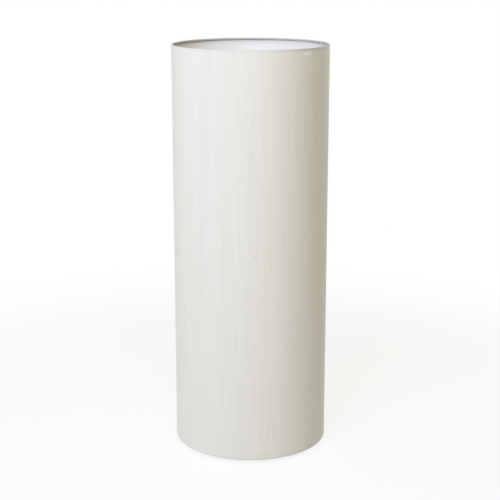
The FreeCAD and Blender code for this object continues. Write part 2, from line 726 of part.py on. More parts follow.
def cable_grommet():
    """Rubber grommet in the plate, where the mains lead comes in from below."""
    bore = GROMMET_BORE / 2
    waist = GROMMET_HOLE / 2 - FIT
    flange = GROMMET_FLANGE / 2
    lip = GROMMET_LIP
    ring = lathe((bore, plate_bottom - lip), (flange - lip / 2, plate_bottom - lip),
                 (flange, plate_bottom - lip / 2), (flange, plate_bottom), (waist, plate_bottom),
                 (waist, plate_top), (flange, plate_top), (flange, plate_top + lip / 2),
                 (flange - lip / 2, plate_top + lip), (bore, plate_top + lip))
    return moved(ring, Vec(0, grommet_y, 0))


def earth_tag():
    """Ring terminal with its crimp barrel towards +X."""
    at = Vec(EARTH_X, block_y, 0)
    ring = tube(EARTH_TAG_RING / 2, M4 / 2 + FIT, plate_top, plate_top + EARTH_TAG, at)
    barrel_start = EARTH_X + EARTH_TAIL
    tail_start = EARTH_X + EARTH_TAG_RING / 2 - EARTH_TAIL_LAP
    half_tail = EARTH_TAIL_WIDTH / 2
    barrel_z = plate_top + EARTH_BARREL / 2
    tail = block((tail_start, barrel_start + EARTH_TAIL_LAP),
                 (block_y - half_tail, block_y + half_tail), (plate_top, plate_top + EARTH_TAG))
    barrel = Part.makeCylinder(EARTH_BARREL / 2, EARTH_BARREL_LENGTH,
                               Vec(barrel_start, block_y, barrel_z), Vec(1, 0, 0))
    bore = Part.makeCylinder(EARTH_WIRE / 2 + FIT, EARTH_BARREL_LENGTH * 2,
                             Vec(barrel_start - OVERCUT, block_y, barrel_z), Vec(1, 0, 0))
    return ring.fuse(tail).fuse(barrel).cut(bore).removeSplitter()


def earth_wire():
    """Earth conductor from the crimp barrel up to the terminal block."""
    start = EARTH_X + EARTH_TAIL + EARTH_TAIL_LAP
    barrel_end = EARTH_X + EARTH_TAIL + EARTH_BARREL_LENGTH
    barrel_z = plate_top + EARTH_BARREL / 2
    face = -BLOCK_LENGTH / 2
    points = [Vec(start, block_y, barrel_z), Vec(barrel_end + EARTH_WIRE_RUN, block_y, barrel_z),
              Vec(face - EARTH_WIRE_ENTRY, block_y, wire_z),
              Vec(face + BLOCK_SOCKET - FLEX_END_GAP, block_y, wire_z)]
    return bent_rod(points, [EARTH_WIRE_BEND] * 2, EARTH_WIRE)


def upper_flex():
    """Lead from the block, up the stem and through the upper threaded tube."""
    x = flex_spacing / 2
    centred_z = upper_plug_bottom - FLEX_JOG_BELOW
    points = [Vec(x, block_front + BLOCK_SOCKET - FLEX_END_GAP, wire_z), Vec(x, 0, wire_z),
              Vec(x, 0, centred_z - FLEX_JOG), Vec(0, 0, centred_z),
              Vec(0, 0, STEM_TOP + INSERT_BOTTOM + FLEX_IN_INSERT)]
    return bent_rod(points, [FLEX_BEND, FLEX_JOG_BEND, FLEX_JOG_BEND], FLEX_DIAMETER)


def lower_flex():
    """Lead from the block, up the stem, out under the arm and up into the lower holder."""
    x = -flex_spacing / 2
    end_z = LOWER_HOLDER_Z + INSERT_BOTTOM + FLEX_IN_INSERT
    points = [Vec(x, block_front + BLOCK_SOCKET - FLEX_END_GAP, wire_z), Vec(x, 0, wire_z),
              Vec(x, 0, exit_z), Vec(-lamp_offset, 0, exit_z), Vec(-lamp_offset, 0, end_z)]
    return bent_rod(points, [FLEX_BEND, FLEX_EXIT_BEND, FLEX_BEND], FLEX_DIAMETER)


def wiring_pieces():
    """What joins the mains lead to the bulbs."""
    earth_screw = screw(M4, M4_HEAD, M4_HEAD_HEIGHT, EARTH_TAG + THREAD_IN_PLATE)
    return {
        "terminal_block": [terminal_block()],
        "terminal_screws": terminal_screws(),
        "block_screw": [block_screw()],
        "cord_clamp": [cord_clamp()],
        "clamp_screws": clamp_screws(),
        "cable_grommet": [cable_grommet()],
        "earth_tag": [earth_tag()],
        "earth_screw": [moved(earth_screw, Vec(EARTH_X, block_y, plate_top + EARTH_TAG))],
        "earth_wire": [earth_wire()],
        "upper_flex": [upper_flex()],
        "lower_flex": [lower_flex()],
    }


# ---- Lampholders, modelled with the foot at height 0 -----------------------------------------
def holder_cap():
    """Domed cap that screws to the threaded tube."""
    outer = HOLDER_DIAMETER / 2
    bore = neck_radius - FLANGE_SEAT
    foot = HOLDER_FOOT / 2
    boss = screwed_radius + HOLDER_BOSS_WALL
    cone_at_floor = foot + (outer - foot) * HOLDER_FLOOR / HOLDER_CONE
    return lathe((screwed_radius, 0), (foot, 0), (outer, HOLDER_CONE),
                 (outer, HOLDER_CAP_HEIGHT), (neck_radius, HOLDER_CAP_HEIGHT),
                 (neck_radius, INSERT_FLANGE), (bore, INSERT_FLANGE), (bore, HOLDER_CONE),
                 (cone_at_floor - HOLDER_CONE_WALL, HOLDER_FLOOR), (boss, HOLDER_FLOOR),
                 (boss, NIPPLE_IN_CAP), (screwed_radius, NIPPLE_IN_CAP))


def holder_insert():
    """Ceramic insert that carries the shell and the contacts."""
    radius = INSERT_DIAMETER / 2
    flange = neck_radius - 4 * FIT
    body = lathe((0, INSERT_BOTTOM), (radius, INSERT_BOTTOM), (radius, INSERT_FLANGE),
                 (flange, INSERT_FLANGE), (flange, insert_top), (0, insert_top))
    body = body.cut(rod(FLEX_DIAMETER / 2 + RUNNING_GAP, INSERT_BOTTOM - OVERCUT,
                        INSERT_BOTTOM + FLEX_IN_INSERT + FLEX_END_GAP))
    hole_top = INSERT_BOTTOM + HOLDER_SCREW_LENGTH + HOLDER_SCREW_ROOM
    for x in (-HOLDER_SCREW_X, HOLDER_SCREW_X):
        body = body.cut(rod(M3 / 2 + FIT, INSERT_BOTTOM - OVERCUT, hole_top, x))
    return body


def holder_skirt():
    """Sleeve that screws into the cap and hides the shell."""
    bore = SKIRT_BORE / 2
    neck = neck_radius - 3 * FIT
    outer = SKIRT_DIAMETER / 2
    shoulder = HOLDER_CAP_HEIGHT + FIT
    lip = SKIRT_LIP
    return lathe((bore, insert_top + FIT), (neck, insert_top + FIT), (neck, shoulder),
                 (outer, shoulder), (outer, HOLDER_HEIGHT - lip),
                 arc_about(outer - lip, HOLDER_HEIGHT - lip, lip, 0, 90),
                 (bore + lip, HOLDER_HEIGHT),
                 arc_about(bore + lip, HOLDER_HEIGHT - lip, lip, 90, 180))


def holder_shell():
    """Brass screw shell. Its ridges run half a pitch from those of the bulb."""
    bore = SHELL_BORE / 2
    rise = tip_z + CAP_RIDGE_START - SHELL_RIDGE_START
    angle = -360 * (rise / THREAD_PITCH + 0.5)
    ridge = helical_ridge(bore, SHELL_RIDGE, SHELL_RIDGE_START, SHELL_RIDGE_TURNS, angle)
    ridge = ridge.common(rod(bore + SHELL_WALL / 2, insert_top, SHELL_TOP))
    return tube(bore + SHELL_WALL, bore, insert_top + FIT, SHELL_TOP).fuse(ridge)


def holder_contact():
    """Sprung centre contact, riveted flat at one end."""
    under = LEAF_TOP - LEAF_THICKNESS
    over = insert_top + LEAF_THICKNESS
    face = Part.Face(outline([(-LEAF_END, insert_top), (-LEAF_HEEL, insert_top), (-LEAF_KNEE, under),
                              (LEAF_TOE, under), (LEAF_TOE, LEAF_TOP),
                              (-LEAF_KNEE - LEAF_MITRE, LEAF_TOP), (-LEAF_HEEL - LEAF_MITRE, over),
                              (-LEAF_END, over)]))
    return moved(face.extrude(Vec(0, LEAF_WIDTH, 0)), Vec(0, -LEAF_WIDTH / 2, 0))


def holder_screws():
    """The two terminal screws, up into the underside of the insert."""
    body = screw(M3, HOLDER_SCREW_HEAD, HOLDER_SCREW_HEAD_HEIGHT, HOLDER_SCREW_LENGTH)
    body.rotate(ORIGIN, Vec(1, 0, 0), 180)
    return [moved(body, Vec(x, 0, INSERT_BOTTOM)) for x in (-HOLDER_SCREW_X, HOLDER_SCREW_X)]


def holder_pieces(side):
    """One lampholder, at its place."""
    parts = {
        "cap": [holder_cap()],
        "insert": [holder_insert()],
        "skirt": [holder_skirt()],
        "shell": [holder_shell()],
        "contact": [holder_contact()],
        "screws": holder_screws(),
    }
    return {f"{side}_holder_{name}": [moved(solid, HOLDERS[side]) for solid in solids]
            for name, solids in parts.items()}


# ---- Bulbs, modelled with the tip at height 0 ------------------------------------------------
def bulb_tip():
    """Round centre contact."""
    radius = BULB_TIP_DIAMETER / 2
    return lathe((0, 0), (BULB_TIP_FLAT / 2, 0), (radius, BULB_TIP_HEIGHT - BULB_TIP_RIM),
                 (radius, BULB_TIP_HEIGHT), (0, BULB_TIP_HEIGHT))


def bulb_insulator():
    """Black glass cone between the tip and the cap."""
    radius = cap_bore - FIT
    bottom = BULB_TIP_HEIGHT + FIT
    return lathe((0, bottom), (BULB_TIP_DIAMETER / 2 + INSULATOR_LEDGE, bottom),
                 (radius, CAP_BOTTOM + INSULATOR_RIM), (radius, INSULATOR_TOP), (0, INSULATOR_TOP))


def bulb_cap():
    """Screw cap with its rolled right-hand thread."""
    core = CAP_CORE / 2
    ridge = helical_ridge(core, CAP_RIDGE, CAP_RIDGE_START, CAP_RIDGE_TURNS, 0)
    ridge = ridge.cut(rod(cap_bore + CAP_WALL / 2, 0, BULB_CAP_LENGTH))
    return tube(core, cap_bore, CAP_BOTTOM, BULB_CAP_LENGTH).fuse(ridge)


def housing_radius(share):
    """Outer radius of the housing's flare, at a share of its height."""
    neck = BULB_HOUSING_NECK / 2
    return neck + (housing_top_radius - neck) * share


def bulb_housing():
    """Plastic housing that flares from the cap to the globe, with a ledge for the board."""
    neck = BULB_HOUSING_NECK / 2
    plug = cap_bore - FIT
    low = BULB_CAP_LENGTH + FIT
    middle = low + BULB_HOUSING_LENGTH / 2
    board_z = housing_top - BOARD_DEPTH
    board_radius = housing_radius(1 - BOARD_DEPTH / BULB_HOUSING_LENGTH) - BULB_WALL
    middle_radius = housing_radius(0.5) - HOUSING_WAIST
    ledge = board_radius - BOARD_LEDGE
    inner_low = neck - BULB_WALL
    return lathe((plug - BULB_WALL, low - HOUSING_PLUG), (plug, low - HOUSING_PLUG), (plug, low),
                 (neck, low), (middle_radius, middle, housing_top_radius, housing_top),
                 (board_radius, housing_top), (board_radius, board_z), (ledge, board_z),
                 ((inner_low + ledge) / 2 - HOUSING_INNER_WAIST, middle,
                  inner_low, low + HOUSING_NECK_RUN),
                 (plug - BULB_WALL, low))


def bulb_board():
    """Round board that carries the light source, on the housing's ledge."""
    radius = housing_radius(1 - BOARD_DEPTH / BULB_HOUSING_LENGTH) - BULB_WALL - FIT
    bottom = housing_top - BOARD_DEPTH
    return rod(radius, bottom, bottom + BOARD_THICKNESS)


def bulb_globe():
    """Opal globe on the housing's rim."""
    outer = bulb_radius
    inner = outer - BULB_WALL
    edge_z = housing_top + FIT
    drop = globe_centre - edge_z
    outer_angle = -math.degrees(math.asin(drop / outer))
    inner_angle = -math.degrees(math.asin(drop / inner))
    start = (outer * math.cos(math.radians(outer_angle)), edge_z)
    inner_end = (inner * math.cos(math.radians(inner_angle)), edge_z)
    return lathe(inner_end, start,
                 arc_about(0, globe_centre, outer, outer_angle, 90),
                 (0, globe_centre + inner),
                 arc_about(0, globe_centre, inner, 90, inner_angle))


def bulb_pieces(side):
    """One bulb, at its place in its holder."""
    parts = {
        "tip": bulb_tip(),
        "insulator": bulb_insulator(),
        "cap": bulb_cap(),
        "housing": bulb_housing(),
        "board": bulb_board(),
        "globe": bulb_globe(),
    }
    place = HOLDERS[side] + Vec(0, 0, tip_z)
    return {f"{side}_bulb_{name}": [moved(solid, place)] for name, solid in parts.items()}


# ---- The lamp --------------------------------------------------------------------------------
def lamp_pieces():
    """Every node of the lamp, with its solids."""
    pieces = {**shade_pieces(), **base_pieces(), **stem_pieces(), **wiring_pieces()}
    for side in HOLDERS:
        pieces.update(holder_pieces(side))
        pieces.update(bulb_pieces(side))
    return pieces


def export(name, solids):
    """Write one node, after a look at each of its solids."""
    for solid in solids:
        sound = solid.isValid() and len(solid.Solids) == 1 and solid.Volume > 0
        if not sound:
            print(f"UNSOUND {name}: valid {solid.isValid()}, solids {len(solid.Solids)}, "
                  f"volume {solid.Volume:.1f}")
    shape = solids[0] if len(solids) == 1 else Part.makeCompound(solids)
    shape.exportStep(f"parts/{name}.step")


def main():
    """Build and write every node."""
    os.makedirs("parts", exist_ok=True)
    pieces = lamp_pieces()
    for name, solids in pieces.items():
        export(name, solids)
    print(f"{len(pieces)} nodes, {sum(len(solids) for solids in pieces.values())} solids")


main()
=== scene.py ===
"""Looks of a tall silk column floor lamp, built around its packed construction.

The shade is one cut of slubbed silk, wrapped round a stiff white lining and rolled over a wire
ring at each end. Under it stand the enamelled base, the stem, the wiring and two bulbs in their
holders. Every piece is in metres, with +Z up, +Y to the back and the origin on the floor.
"""

from __future__ import annotations

import json
import logging
import math
from dataclasses import dataclass, field
from enum import Enum
from typing import Callable

import bmesh
import bpy
from mathutils import Matrix, Vector, noise

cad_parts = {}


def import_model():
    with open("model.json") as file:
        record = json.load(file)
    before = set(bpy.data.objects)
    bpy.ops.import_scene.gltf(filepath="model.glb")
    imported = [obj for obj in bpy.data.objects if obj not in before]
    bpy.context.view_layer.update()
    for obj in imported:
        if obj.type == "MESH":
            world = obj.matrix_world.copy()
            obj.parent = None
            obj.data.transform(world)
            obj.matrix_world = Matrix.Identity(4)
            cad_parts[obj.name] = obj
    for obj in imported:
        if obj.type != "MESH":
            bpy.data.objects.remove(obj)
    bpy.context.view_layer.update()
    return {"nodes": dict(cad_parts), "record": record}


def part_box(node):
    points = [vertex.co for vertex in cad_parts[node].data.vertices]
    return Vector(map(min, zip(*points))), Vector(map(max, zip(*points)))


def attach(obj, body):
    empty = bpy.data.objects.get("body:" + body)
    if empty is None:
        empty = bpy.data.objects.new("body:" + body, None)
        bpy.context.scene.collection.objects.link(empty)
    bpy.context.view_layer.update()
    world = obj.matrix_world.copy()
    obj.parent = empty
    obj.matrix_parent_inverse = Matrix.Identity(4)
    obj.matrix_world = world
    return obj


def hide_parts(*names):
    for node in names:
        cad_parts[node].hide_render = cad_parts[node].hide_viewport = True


log = logging.getLogger("column_lamp")

MM = 0.001


class Body(str, Enum):
    """The bodies that this script's pieces ride on."""

    STAND = "stand"
    SHADE = "shade"


# ---- Shader building blocks ------------------------------------------------------------------
class NodeBench:
    """Adds nodes to one shader tree, from left to right."""

    def __init__(self, tree: bpy.types.ShaderNodeTree) -> None:
        """Start on an empty tree.

        Args:
            tree: The material's or group's node tree.
        """
        self.tree = tree
        self.column = 0

    def add(self, kind: str, **settings: object) -> bpy.types.ShaderNode:
        """Place one node.

        Args:
            kind: The node's class name.
            settings: Properties to set on it.

        Returns:
            The new node.
        """
        node = self.tree.nodes.new(kind)
        node.location = (self.column * 190, 0)
        self.column += 1
        for name, value in settings.items():
            setattr(node, name, value)
        return node

    def feed(self, socket: bpy.types.NodeSocket, value: object) -> None:
        """Link a socket to another, or set its value.

        Args:
            socket: The input.
            value: An output socket, or a plain value.
        """
        if isinstance(value, bpy.types.NodeSocket):
            self.tree.links.new(value, socket)
        else:
            socket.default_value = value

    def math(self, operation: str, a: object, b: object = 0.0,
             clamp: bool = False) -> bpy.types.NodeSocket:
        """Combine two numbers.

        Args:
            operation: The Math node's operation.
            a: First number or socket.
            b: Second number or socket.
            clamp: Whether the result is kept from 0 to 1.

        Returns:
            The result's socket.
        """
        node = self.add("ShaderNodeMath", operation=operation, use_clamp=clamp)
        self.feed(node.inputs[0], a)
        self.feed(node.inputs[1], b)
        return node.outputs[0]

    def remap(self, value: object, low: float, high: float, to_low: float = 0.0,
              to_high: float = 1.0) -> bpy.types.NodeSocket:
        """Move a number smoothly from one range to another, clamped at both ends.

        Args:
            value: The number's socket.
            low: Where the range starts.
            high: Where it ends.
            to_low: What the start becomes.
            to_high: What the end becomes.

        Returns:
            The result's socket.
        """
        node = self.add("ShaderNodeMapRange", interpolation_type="SMOOTHSTEP")
        for socket, given in zip(node.inputs, (value, low, high, to_low, to_high)):
            self.feed(socket, given)
        return node.outputs[0]

    def stretched(self, vector: object, scale: tuple[float, float, float],
                  shift: tuple[float, float, float] = (0, 0, 0)) -> bpy.types.NodeSocket:
        """Scale and shift a coordinate.

        Args:
            vector: The coordinate's socket.
            scale: Factor on each axis, per metre.
            shift: Offset after scaling.

        Returns:
            The new coordinate's socket.
        """
        node = self.add("ShaderNodeMapping")
        self.feed(node.inputs["Vector"], vector)
        node.inputs["Scale"].default_value = scale
        node.inputs["Location"].default_value = shift
        return node.outputs[0]

    def noise(self, vector: object, scale: float = 1.0, detail: float = 2.0,
              roughness: float = 0.5) -> bpy.types.NodeSocket:
        """Fractal noise from about 0 to 1.

        Args:
            vector: The coordinate's socket.
            scale: The noise's scale.
            detail: Its octaves.
            roughness: How strong the finer octaves are.

        Returns:
            The value's socket.
        """
        node = self.add("ShaderNodeTexNoise")
        self.feed(node.inputs["Vector"], vector)
        node.inputs["Scale"].default_value = scale
        node.inputs["Detail"].default_value = detail
        node.inputs["Roughness"].default_value = roughness
        return node.outputs[0]

    def blend(self, factor: object, a: object, b: object) -> bpy.types.NodeSocket:
        """Mix two colours.

        Args:
            factor: How much of the second shows.
            a: First colour or socket.
            b: Second colour or socket.

        Returns:
            The colour's socket.
        """
        node = self.add("ShaderNodeMix", data_type="RGBA")
        self.feed(node.inputs["Factor"], factor)
        self.feed(node.inputs[6], a)
        self.feed(node.inputs[7], b)
        return node.outputs[2]


Colour = tuple[float, float, float, float]


def colour(red: float, green: float, blue: float) -> Colour:
    """A linear colour with full alpha."""
    return (red, green, blue, 1.0)


def shader_group(name: str, inputs: dict[str, object], outputs: dict[str, str],
                 fill: Callable[[NodeBench, dict[str, bpy.types.NodeSocket]], dict[str, object]]
                 ) -> bpy.types.ShaderNodeTree:
    """Build a shader node group once, and give it back when it is asked for again.

    Args:
        name: The group's name.
        inputs: Input names with their defaults: a number, a colour of four or a vector of three.
        outputs: Output names with their socket types.
        fill: Builds the inside from the bench and the input sockets, and returns the outputs.

    Returns:
        The group's tree.
    """
    found = bpy.data.node_groups.get(name)
    if found:
        return found
    tree = bpy.data.node_groups.new(name, "ShaderNodeTree")
    for label, default in inputs.items():
        size = len(default) if isinstance(default, tuple) else 1
        kind = {1: "NodeSocketFloat", 3: "NodeSocketVector", 4: "NodeSocketColor"}[size]
        tree.interface.new_socket(name=label, in_out="INPUT", socket_type=kind).default_value = default
    for label, kind in outputs.items():
        tree.interface.new_socket(name=label, in_out="OUTPUT", socket_type=kind)
    bench = NodeBench(tree)
    start = bench.add("NodeGroupInput")
    results = fill(bench, {label: start.outputs[label] for label in inputs})
    end = bench.add("NodeGroupOutput")
    for label, value in results.items():
        bench.feed(end.inputs[label], value)
    return tree


def slub_weave_group() -> bpy.types.ShaderNodeTree:
    """Silk dupion on a coordinate in metres, X across the panel and Y along its height.

    Returns:
        The group: tone around 1, roughness change and thread height.
    """

    def fill(bench: NodeBench, given: dict[str, bpy.types.NodeSocket]) -> dict[str, object]:
        """Weave the threads, the slubs and the broad bands of tone."""
        cloth = given["Vector"]
        thread = bench.noise(bench.stretched(cloth, (2100, 60, 1)), detail=1.0)
        pick = bench.noise(bench.stretched(cloth, (90, 2600, 1)), detail=1.0)
        slub_field = bench.noise(bench.stretched(cloth, (460, 9, 1), (3.1, 7.7, 0)), detail=2.0,
                                 roughness=0.45)
        slub = bench.remap(slub_field, 0.60, 0.74)
        wide_field = bench.noise(bench.stretched(cloth, (150, 4.5, 1), (11.3, 2.9, 0)), detail=2.0)
        band_field = bench.noise(bench.stretched(cloth, (34, 1.1, 1), (5.7, 1.3, 0)), detail=1.0)
        cross_field = bench.noise(bench.stretched(cloth, (45, 520, 1), (1.9, 8.3, 0)), detail=2.0,
                                  roughness=0.4)
        cross = bench.remap(cross_field, 0.66, 0.78)
        knots = bench.add("ShaderNodeTexVoronoi", voronoi_dimensions="2D", feature="F1")
        bench.feed(knots.inputs["Vector"], bench.stretched(cloth, (26, 14, 1), (0.37, 0.61, 0)))
        knots.inputs["Scale"].default_value = 1.0
        near_knot = bench.remap(knots.outputs["Distance"], 0.1, 0.0)
        lot = bench.add("ShaderNodeSeparateColor")
        bench.feed(lot.inputs[0], knots.outputs["Color"])
        chosen = bench.math("GREATER_THAN", lot.outputs["Red"], 0.66)
        knot = bench.math("MULTIPLY", near_knot, chosen)
        knot_tone = bench.math("MULTIPLY", knot, bench.math("SUBTRACT", lot.outputs["Green"], 0.3))
        tone: object = 1.0
        for value, amount in ((thread, "Thread"), (slub_field, "Slub"), (wide_field, "Streak"),
                              (band_field, "Band")):
            change = bench.math("MULTIPLY", bench.math("SUBTRACT", value, 0.5), given[amount])
            tone = bench.math("ADD", tone, change)
        for value, amount in ((knot_tone, "Knot"), (cross, "Cross")):
            tone = bench.math("SUBTRACT", tone, bench.math("MULTIPLY", value, given[amount]))
        height: object = 0.0
        for value, share in ((thread, 0.22), (pick, 0.16), (slub, 0.7), (wide_field, 0.8),
                             (knot, 4.0), (cross, 0.3)):
            height = bench.math("ADD", height, bench.math("MULTIPLY", value, share))
        rough = bench.math("MULTIPLY", bench.math("SUBTRACT", wide_field, 0.5), 0.16)
        return {"Tone": tone, "Roughness Change": rough, "Height": height}

    return shader_group(
        "slub_weave",
        {"Vector": (0.0, 0.0, 0.0), "Thread": 0.0, "Slub": 0.0, "Streak": 0.0, "Band": 0.0,
         "Knot": 0.0, "Cross": 0.0},
        {"Tone": "NodeSocketFloat", "Roughness Change": "NodeSocketFloat", "Height": "NodeSocketFloat"},
        fill,
    )


def fine_grain_group() -> bpy.types.ShaderNodeTree:
    """Mottled surface on a coordinate in metres: paint, moulded plastic, rubber or glaze.

    Returns:
        The group: a mask from 0 to 1 and a height.
    """

    def fill(bench: NodeBench, given: dict[str, bpy.types.NodeSocket]) -> dict[str, object]:
        """Mix a fine and a broad mottle."""
        scaled = bench.add("ShaderNodeVectorMath", operation="SCALE")
        bench.feed(scaled.inputs[0], given["Vector"])
        bench.feed(scaled.inputs["Scale"], given["Grains per Metre"])
        fine = bench.noise(scaled.outputs[0], detail=3.0)
        broad = bench.noise(given["Vector"], scale=38.0, detail=3.0, roughness=0.6)
        mask = bench.math("ADD", bench.math("MULTIPLY", fine, 0.5), bench.math("MULTIPLY", broad, 0.5))
        return {"Mask": mask, "Height": fine}

    return shader_group("fine_grain", {"Vector": (0.0, 0.0, 0.0), "Grains per Metre": 900.0},
                        {"Mask": "NodeSocketFloat", "Height": "NodeSocketFloat"}, fill)


def drawn_lines_group() -> bpy.types.ShaderNodeTree:
    """Brushing or drawing lines on a coordinate in metres, along one axis given by its scale.

    Returns:
        The group: a mask from 0 to 1 and a height.
    """

    def fill(bench: NodeBench, given: dict[str, bpy.types.NodeSocket]) -> dict[str, object]:
        """Stretch a noise into lines and break them up."""
        pulled = bench.add("ShaderNodeVectorMath", operation="MULTIPLY")
        bench.feed(pulled.inputs[0], given["Vector"])
        bench.feed(pulled.inputs[1], given["Lines per Metre"])
        lines = bench.noise(pulled.outputs[0], detail=3.0, roughness=0.65)
        cloud = bench.noise(given["Vector"], scale=22.0, detail=2.0)
        mask = bench.math("ADD", bench.math("MULTIPLY", lines, 0.7), bench.math("MULTIPLY", cloud, 0.3))
        return {"Mask": mask, "Height": lines}

    return shader_group("drawn_lines",
                        {"Vector": (0.0, 0.0, 0.0), "Lines per Metre": (3000.0, 3000.0, 60.0)},
                        {"Mask": "NodeSocketFloat", "Height": "NodeSocketFloat"}, fill)


# ---- Finishes --------------------------------------------------------------------------------
@dataclass(frozen=True)
class Finish:
    """What every finish shares: its name, its colour and how rough it is."""

    name: str
    base: Colour
    roughness: float

    def material(self) -> bpy.types.Material:
        """Build the material, or give back the one already built.

        Returns:
            The material.
        """
        found = bpy.data.materials.get(self.name)
        if found:
            return found
        made = bpy.data.materials.new(self.name)
        made.use_nodes = True
        made.node_tree.nodes.clear()
        bench = NodeBench(made.node_tree)
        shader = bench.add("ShaderNodeBsdfPrincipled")
        shader.inputs["Base Color"].default_value = self.base
        shader.inputs["Roughness"].default_value = self.roughness
        output = bench.add("ShaderNodeOutputMaterial")
        bench.feed(output.inputs["Surface"], shader.outputs[0])
        self.dress(bench, shader)
        return made

    def dress(self, bench: NodeBench, shader: bpy.types.ShaderNode) -> None:
        """Add the finish's own detail to the shader. The plain finish has none.

        Args:
            bench: Where nodes are added.
            shader: The Principled shader.
        """

    def relief(self, bench: NodeBench, shader: bpy.types.ShaderNode, height: bpy.types.NodeSocket,
               depth: float) -> None:
        """Raise the surface by a height.

        Args:
            bench: Where nodes are added.
            shader: The Principled shader.
            height: From 0 to 1.
            depth: What 1 stands for, in metres.
        """
        bump = bench.add("ShaderNodeBump")
        bump.inputs["Strength"].default_value = 1.0
        bump.inputs["Distance"].default_value = depth
        bench.feed(bump.inputs["Height"], height)
        bench.feed(shader.inputs["Normal"], bump.outputs[0])


@dataclass(frozen=True)
class SilkFinish(Finish):
    """Ivory silk dupion with its slubs along the height, read from the cloth's own flat map."""

    slub: float = 0.09
    streak: float = 0.085
    band: float = 0.06
    knot: float = 0.17
    cross: float = 0.02
    thread: float = 0.06
    thread_height: float = 0.16 * MM
    sheen: float = 0.35
    # Flat grey painted onto the silk as shade over its rolled edges and in a thin line just below them.
    painted_edge_shade: Colour = colour(0.60, 0.60, 0.59)

    def dress(self, bench: NodeBench, shader: bpy.types.ShaderNode) -> None:
        """Weave the silk into the shader. See Finish.dress."""
        cut = bench.add("ShaderNodeUVMap", uv_map="cut")
        weave = bench.add("ShaderNodeGroup")
        weave.node_tree = slub_weave_group()
        bench.feed(weave.inputs["Vector"], cut.outputs[0])
        for label, amount in (("Thread", self.thread), ("Slub", self.slub), ("Streak", self.streak),
                              ("Band", self.band), ("Knot", self.knot), ("Cross", self.cross)):
            weave.inputs[label].default_value = amount
        toned = bench.add("ShaderNodeVectorMath", operation="SCALE")
        toned.inputs[0].default_value = self.base[:3]
        bench.feed(toned.inputs["Scale"], weave.outputs["Tone"])
        # Painted shade: a vertex mask made with the mesh blends the silk's colour towards that flat grey.
        painted_shade = bench.add("ShaderNodeAttribute", attribute_name="painted_edge_shade")
        cloth = bench.blend(painted_shade.outputs["Fac"], toned.outputs[0], self.painted_edge_shade)
        bench.feed(shader.inputs["Base Color"], cloth)
        rough = bench.math("ADD", weave.outputs["Roughness Change"], self.roughness, clamp=True)
        bench.feed(shader.inputs["Roughness"], rough)
        shader.inputs["Sheen Weight"].default_value = self.sheen
        shader.inputs["Sheen Roughness"].default_value = 0.35
        shader.inputs["Specular IOR Level"].default_value = 0.35
        self.relief(bench, shader, weave.outputs["Height"], self.thread_height)


@dataclass(frozen=True)
class GrainFinish(Finish):
    """A mottled, finely grained surface: enamel, moulded plastic, rubber, glaze or sheet."""

    grains: float = 900.0
    depth: float = 0.02 * MM
    variation: float = 0.06
    coat: float = 0.0
    specular: float = 0.5

    def dress(self, bench: NodeBench, shader: bpy.types.ShaderNode) -> None:
        """Mottle the colour, the roughness and the surface. See Finish.dress."""
        place = bench.add("ShaderNodeTexCoord")
        grain = bench.add("ShaderNodeGroup")
        grain.node_tree = fine_grain_group()
        bench.feed(grain.inputs["Vector"], place.outputs["Object"])
        grain.inputs["Grains per Metre"].default_value = self.grains
        shade = tuple(channel * (1 - self.variation) for channel in self.base[:3]) + (1.0,)
        bench.feed(shader.inputs["Base Color"], bench.blend(grain.outputs["Mask"], shade, self.base))
        rough = bench.remap(grain.outputs["Mask"], 0.3, 0.7, self.roughness - 0.05, self.roughness + 0.05)
        bench.feed(shader.inputs["Roughness"], rough)
        shader.inputs["Coat Weight"].default_value = self.coat
        shader.inputs["Coat Roughness"].default_value = 0.15
        shader.inputs["Specular IOR Level"].default_value = self.specular
        self.relief(bench, shader, grain.outputs["Height"], self.depth)


@dataclass(frozen=True)
class MetalFinish(Finish):
    """Drawn, turned or plated metal with fine lines, and a screw thread if it has a pitch."""

    lines: tuple[float, float, float] = (3000.0, 3000.0, 60.0)
    depth: float = 0.006 * MM
    variation: float = 0.16
    thread_pitch: float = 0.0
    thread_depth: float = 0.35 * MM

    def dress(self, bench: NodeBench, shader: bpy.types.ShaderNode) -> None:
        """Draw the lines into the colour, the roughness and the surface. See Finish.dress."""
        place = bench.add("ShaderNodeTexCoord")
        drawn = bench.add("ShaderNodeGroup")
        drawn.node_tree = drawn_lines_group()
        bench.feed(drawn.inputs["Vector"], place.outputs["Object"])
        drawn.inputs["Lines per Metre"].default_value = self.lines
        shade = tuple(channel * (1 - self.variation) for channel in self.base[:3]) + (1.0,)
        bench.feed(shader.inputs["Base Color"], bench.blend(drawn.outputs["Mask"], shade, self.base))
        rough = bench.remap(drawn.outputs["Mask"], 0.3, 0.7, self.roughness - 0.08, self.roughness + 0.08)
        bench.feed(shader.inputs["Roughness"], rough)
        shader.inputs["Metallic"].default_value = 1.0
        if self.thread_pitch:
            self.relief(bench, shader, self.thread(bench, place.outputs["Object"]), self.thread_depth)
        else:
            self.relief(bench, shader, drawn.outputs["Height"], self.depth)

    def thread(self, bench: NodeBench, place: bpy.types.NodeSocket) -> bpy.types.NodeSocket:
        """Turns of a screw thread along an upright rod.

        Args:
            bench: Where nodes are added.
            place: The coordinate in metres.

        Returns:
            The thread's height from 0 to 1.
        """
        split = bench.add("ShaderNodeSeparateXYZ")
        bench.feed(split.inputs[0], place)
        turns = bench.math("MULTIPLY", split.outputs["Z"], 1.0 / self.thread_pitch)
        return bench.math("PINGPONG", turns, 0.5)


